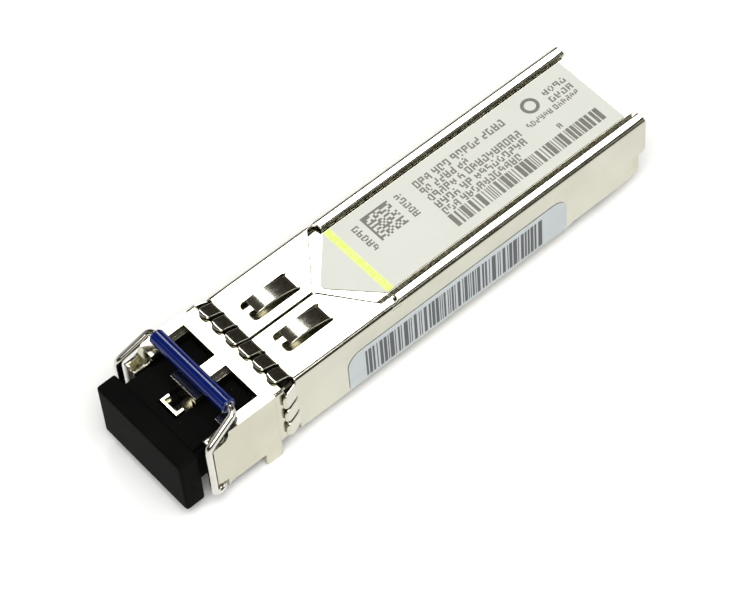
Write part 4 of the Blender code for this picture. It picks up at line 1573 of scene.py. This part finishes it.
@dataclass
class Labels:
    """Pointed label on the cover and the bar label on the right wall."""

    datum: Datum
    thickness: float = 0.08
    edge: float = 0.02
    top_z: float = 8.38
    half_width: float = 4.86
    rear: float = -1.2
    shoulder: float = -32.8
    tip: float = -37.0
    stripe: Point = (-32.78, -31.95)
    side_x: float = 6.76
    side_y: Point = (-39.75, -10.95)
    side_z: Point = (0.55, 5.7)
    side_radii: Span = (1.7, 0.3)
    module: float = 0.13
    top_bars: tuple[float, float, Span] = (20.3, -22.5, (1.98, 3.72))
    side_bars: tuple[float, float, Span] = (23.3, -37.6, (0.95, 5.1))
    point_half_width: float = 0.3
    top_radii: tuple[float, float, float] = (0.15, 0.3, 0.3)
    patch_corner: Point = (-3.62, -29.1)
    patch_cells: int = 14
    patch_pitch: float = 0.25
    ring_centre: Point = (-2.65, -7.2)
    ring_radii: Span = (1.0, 0.62)
    ring_pieces: int = 40
    seed: int = 7

    def top_place(self, x: float, y: float) -> Placed:
        """Place and normal on the cover's land."""
        return Vector((x, y, self.top_z)), Vector((0.0, 0.0, 1.0))

    def side_place(self, y: float, z: float) -> Placed:
        """Place and normal on the right wall."""
        return Vector((self.side_x, y, z)), Vector((1.0, 0.0, 0.0))

    def lines(self) -> list[GreekedLine]:
        """The lines of print, from the far edge of the label to the near one.

        Returns:
            The lines.
        """
        return [
            GreekedLine((-3.5, -2.55), -22.4, (3, 3, 5, 4), 0.74),
            GreekedLine((-2.38, -1.45), -22.4, (2, 4, 2), 0.7),
            GreekedLine((-1.3, -0.38), -22.4, (5, 1, 10), 0.73),
            GreekedLine((-0.18, 0.74), -22.4, (4, 2, 9), 0.76),
            GreekedLine((0.93, 1.84), -22.4, (3, 11), 0.72),
            GreekedLine((-3.25, -2.5), -5.25, (4,), 0.78),
            GreekedLine((-2.15, -1.4), -5.25, (4,), 0.78),
            GreekedLine((-1.12, -0.45), -9.2, (6, 6), 0.56),
            GreekedLine((0.95, 1.6), -7.0, (1,), 0.6),
            GreekedLine((-30.55, -29.75), -3.25, (5,), 0.74, True),
            GreekedLine((-24.85, -24.05), -3.45, (5,), 0.7, True)]

    def matrix(self, draw: random.Random) -> list[list[Point]]:
        """Square patch of random cells with two solid sides.

        Args:
            draw: source of the cells' runs.

        Returns:
            Outlines of the patch's blocks.
        """
        cells, pitch = self.patch_cells, self.patch_pitch
        low_x, low_y = self.patch_corner
        shapes = [square((low_x, low_x + cells * pitch), (low_y, low_y + pitch)),
                  square((low_x, low_x + pitch), (low_y + pitch, low_y + cells * pitch))]
        for row in range(1, cells):
            column = 1
            while column < cells:
                run = min(draw.choice((0, 1, 1, 2)), cells - column)
                if run:
                    x, y = low_x + column * pitch, low_y + row * pitch
                    shapes.append(square((x, x + run * pitch), (y, y + pitch)))
                column += run + 1
        return shapes

    def ring(self) -> list[list[Point]]:
        """A plain ring, in short pieces that don't touch its middle.

        Returns:
            Outlines of the pieces.
        """
        (x, y), (outer, inner) = self.ring_centre, self.ring_radii
        shapes = []
        for k in range(self.ring_pieces):
            start, end = (2 * math.pi * (k + j) / self.ring_pieces for j in (0, 1))
            turns = ((outer, start), (outer, end), (inner, end), (inner, start))
            shapes.append([(x + radius * math.cos(a), y + radius * math.sin(a)) for radius, a in turns])
        return shapes

    def barred(self, pattern: tuple[float, float, Span], draw: random.Random) -> list[tuple[Span, Span]]:
        """Limits along and across of each bar in a pattern of a length, a start and a width.

        Args:
            pattern: its length, where it starts, and its limits across.
            draw: source of its widths.

        Returns:
            Each bar's limits along and across.
        """
        length, start, across = pattern
        return [((start + low, start + high), across) for low, high in bars(length, self.module, draw)]

    def build(self) -> None:
        """Print both labels and stick them on."""
        draw = random.Random(self.seed)
        ink = [shape for line in self.lines() for shape in line.shapes(draw)]
        ink += self.matrix(draw) + self.ring()
        ink += [square(across, along) for along, across in self.barred(self.top_bars, draw)]
        width = self.half_width
        half = [(*place, radius) for place, radius in zip(
            ((self.point_half_width, self.tip), (width, self.shoulder), (width, self.rear)),
            reversed(self.top_radii))]
        outline = rounded_loop([(-x, y, radius) for x, y, radius in reversed(half)] + half)
        inside = width - self.edge
        stripe = square((-inside, inside), self.stripe)
        plan = SheetPlan(outline, [], [(1, shape) for shape in ink] + [(2, stripe)], [], 1.0)
        mesh = sheet_mesh("pointed_label", plan, self.top_place, self.thickness, self.edge, self.datum)
        add_piece("pointed_label", mesh, Body.ROOT,
                  [PolyesterLabel(), GreyResinPrint(), FluorescentInk()], ["top_label"])
        upper, lower = self.side_radii
        corners = [(y, z, lower if z == self.side_z[0] else upper)
                   for y, z in square(self.side_y, self.side_z)]
        marks = [(1, square(along, across)) for along, across in self.barred(self.side_bars, draw)]
        plan = SheetPlan(rounded_loop(corners), [], marks, [], 1.0)
        mesh = sheet_mesh("wall_label", plan, self.side_place, self.thickness, self.edge, self.datum)
        add_piece("wall_label", mesh, Body.ROOT, [SilveredLabel(), DarkResinPrint()],
                  ["side_label"])


# ---------------------------------------------------------------- studio

def towards(azimuth: float, elevation: float) -> Vector:
    """Unit vector from the module towards a place so many degrees round and up.

    Args:
        azimuth: degrees round from the port end.
        elevation: degrees up from the floor.

    Returns:
        The direction.
    """
    turn, rise = math.radians(azimuth), math.radians(elevation)
    return Vector((math.sin(turn) * math.cos(rise), -math.cos(turn) * math.cos(rise), math.sin(rise)))


@dataclass
class SoftBox:
    """A square lamp that looks at the module."""

    name: str
    azimuth: float
    elevation: float
    distance: float
    size: Point
    radiance: float
    turn: float = 0.0
    colour: str = "#FFFFFD"

    def add(self, aim: Vector) -> None:
        """Hang the lamp.

        Args:
            aim: the place that it points at.
        """
        lamp = bpy.data.lights.new(self.name, "AREA")
        lamp.shape = "RECTANGLE"
        lamp.size, lamp.size_y = self.size
        lamp.energy = self.radiance * math.pi * self.size[0] * self.size[1]
        lamp.color = linear(self.colour)[:3]
        thing = link(self.name, lamp)
        back = towards(self.azimuth, self.elevation)
        thing.location = aim + back * self.distance
        facing = back.to_track_quat("Z", "Y") @ Quaternion((0.0, 0.0, 1.0), math.radians(self.turn))
        thing.rotation_euler = facing.to_euler()


@dataclass
class Studio:
    """White paper, soft boxes, a dim room and the camera."""

    azimuth: float = 53.431
    elevation: float = 54.69
    roll: float = -5.362
    distance: float = 304.468
    offset: Point = (5.135, 6.174)
    aim_y: float = -24.0
    aim_z: float = 4.25
    lens: float = 147.86
    sensor: float = 36.0
    clip_start: float = 0.01
    paper: float = 4.0
    paper_gap: float = 0.02
    stops: tuple[tuple[float, str], ...] = (
        (0.0, "#F2F0EA"), (0.12, "#E8E5DC"), (0.24, "#38332B"), (0.6, "#2A2620"), (0.9, "#4A463E"),
        (1.0, "#5A5650"))
    boxes: tuple[SoftBox, ...] = (
        SoftBox("key_box", 233.4, 54.7, 0.62, (0.21, 0.10), 7.0, 31.0),
        SoftBox("front_box", 60.0, 66.0, 0.8, (0.75, 0.6), 6.2),
        SoftBox("left_box", 310.0, 30.0, 0.8, (0.4, 0.4), 0.6),
        SoftBox("rear_box", 150.0, 35.0, 0.8, (0.4, 0.4), 1.6))

    def build(self, datum: Datum) -> None:
        """Set the scene round the module.

        Args:
            datum: where the module sits.
        """
        aim = datum.metres((0.0, self.aim_y, self.aim_z))
        self.floor()
        self.room()
        for box in self.boxes:
            box.add(aim)
        self.camera(aim)
        bpy.context.scene.view_settings.view_transform = "Standard"

    def floor(self) -> None:
        """Lay the paper under the module's feet."""
        shape = bmesh.new()
        bmesh.ops.create_grid(shape, x_segments=8, y_segments=8, size=self.paper / 2)
        mesh = mesh_from(shape, "paper_floor")
        mesh.materials.append(StudioPaper().material())
        floor = link("paper_floor", mesh)
        floor.location.z = CAD_BOX[0].z - self.paper_gap * MM

    def room(self) -> None:
        """Dim room: dark at mid height, so that bent metal has something to reflect, pale low down."""
        world = bpy.data.worlds.new("room")
        world.use_nodes = True
        bpy.context.scene.world = world
        tree = world.node_tree
        background = tree.nodes["Background"]
        way = add_node(tree, "ShaderNodeTexCoord").outputs["Generated"]
        height = add_node(tree, "ShaderNodeSeparateXYZ", {}, {0: way}).outputs[2]
        ramp = add_node(tree, "ShaderNodeValToRGB", {}, {0: height})
        ends = ramp.color_ramp.elements
        ends[0].color, ends[1].color = linear(self.stops[0][1]), linear(self.stops[-1][1])
        for position, colour in self.stops[1:-1]:
            ends.new(position).color = linear(colour)
        tree.links.new(ramp.outputs[0], background.inputs["Color"])

    def camera(self, aim: Vector) -> None:
        """Set up the camera.

        Args:
            aim: the place that it looks at before it is moved aside by the framing offset.
        """
        azimuth = math.radians(self.azimuth)
        back = towards(self.azimuth, self.elevation)
        right = Vector((math.cos(azimuth), math.sin(azimuth), 0.0))
        up = back.cross(right)
        turn = Matrix.Rotation(math.radians(self.roll), 3, "Z")
        axes = Matrix((right, up, back)).transposed() @ turn
        shift = Vector((-self.offset[0], -self.offset[1], self.distance)) * MM
        lens = bpy.data.cameras.new("camera")
        lens.lens = self.lens
        lens.sensor_width = self.sensor
        lens.clip_start = self.clip_start
        camera = link("camera", lens)
        camera.matrix_world = Matrix.Translation(aim + axes @ shift) @ axes.to_4x4()
        bpy.context.scene.camera = camera


def main() -> None:
    logging.basicConfig(level=logging.INFO, format="%(message)s")
    datum = Datum.from_frame()
    OuterShell(datum).build()
    Castings(datum).build()
    FingerSeat(datum).build()
    Bail(datum).build()
    DustPlug().build()
    Latch(datum).build()
    Optics().build()
    Electronics(datum).build()
    Labels(datum).build()
    Studio().build(datum)


if __name__ == "__main__":
    main()
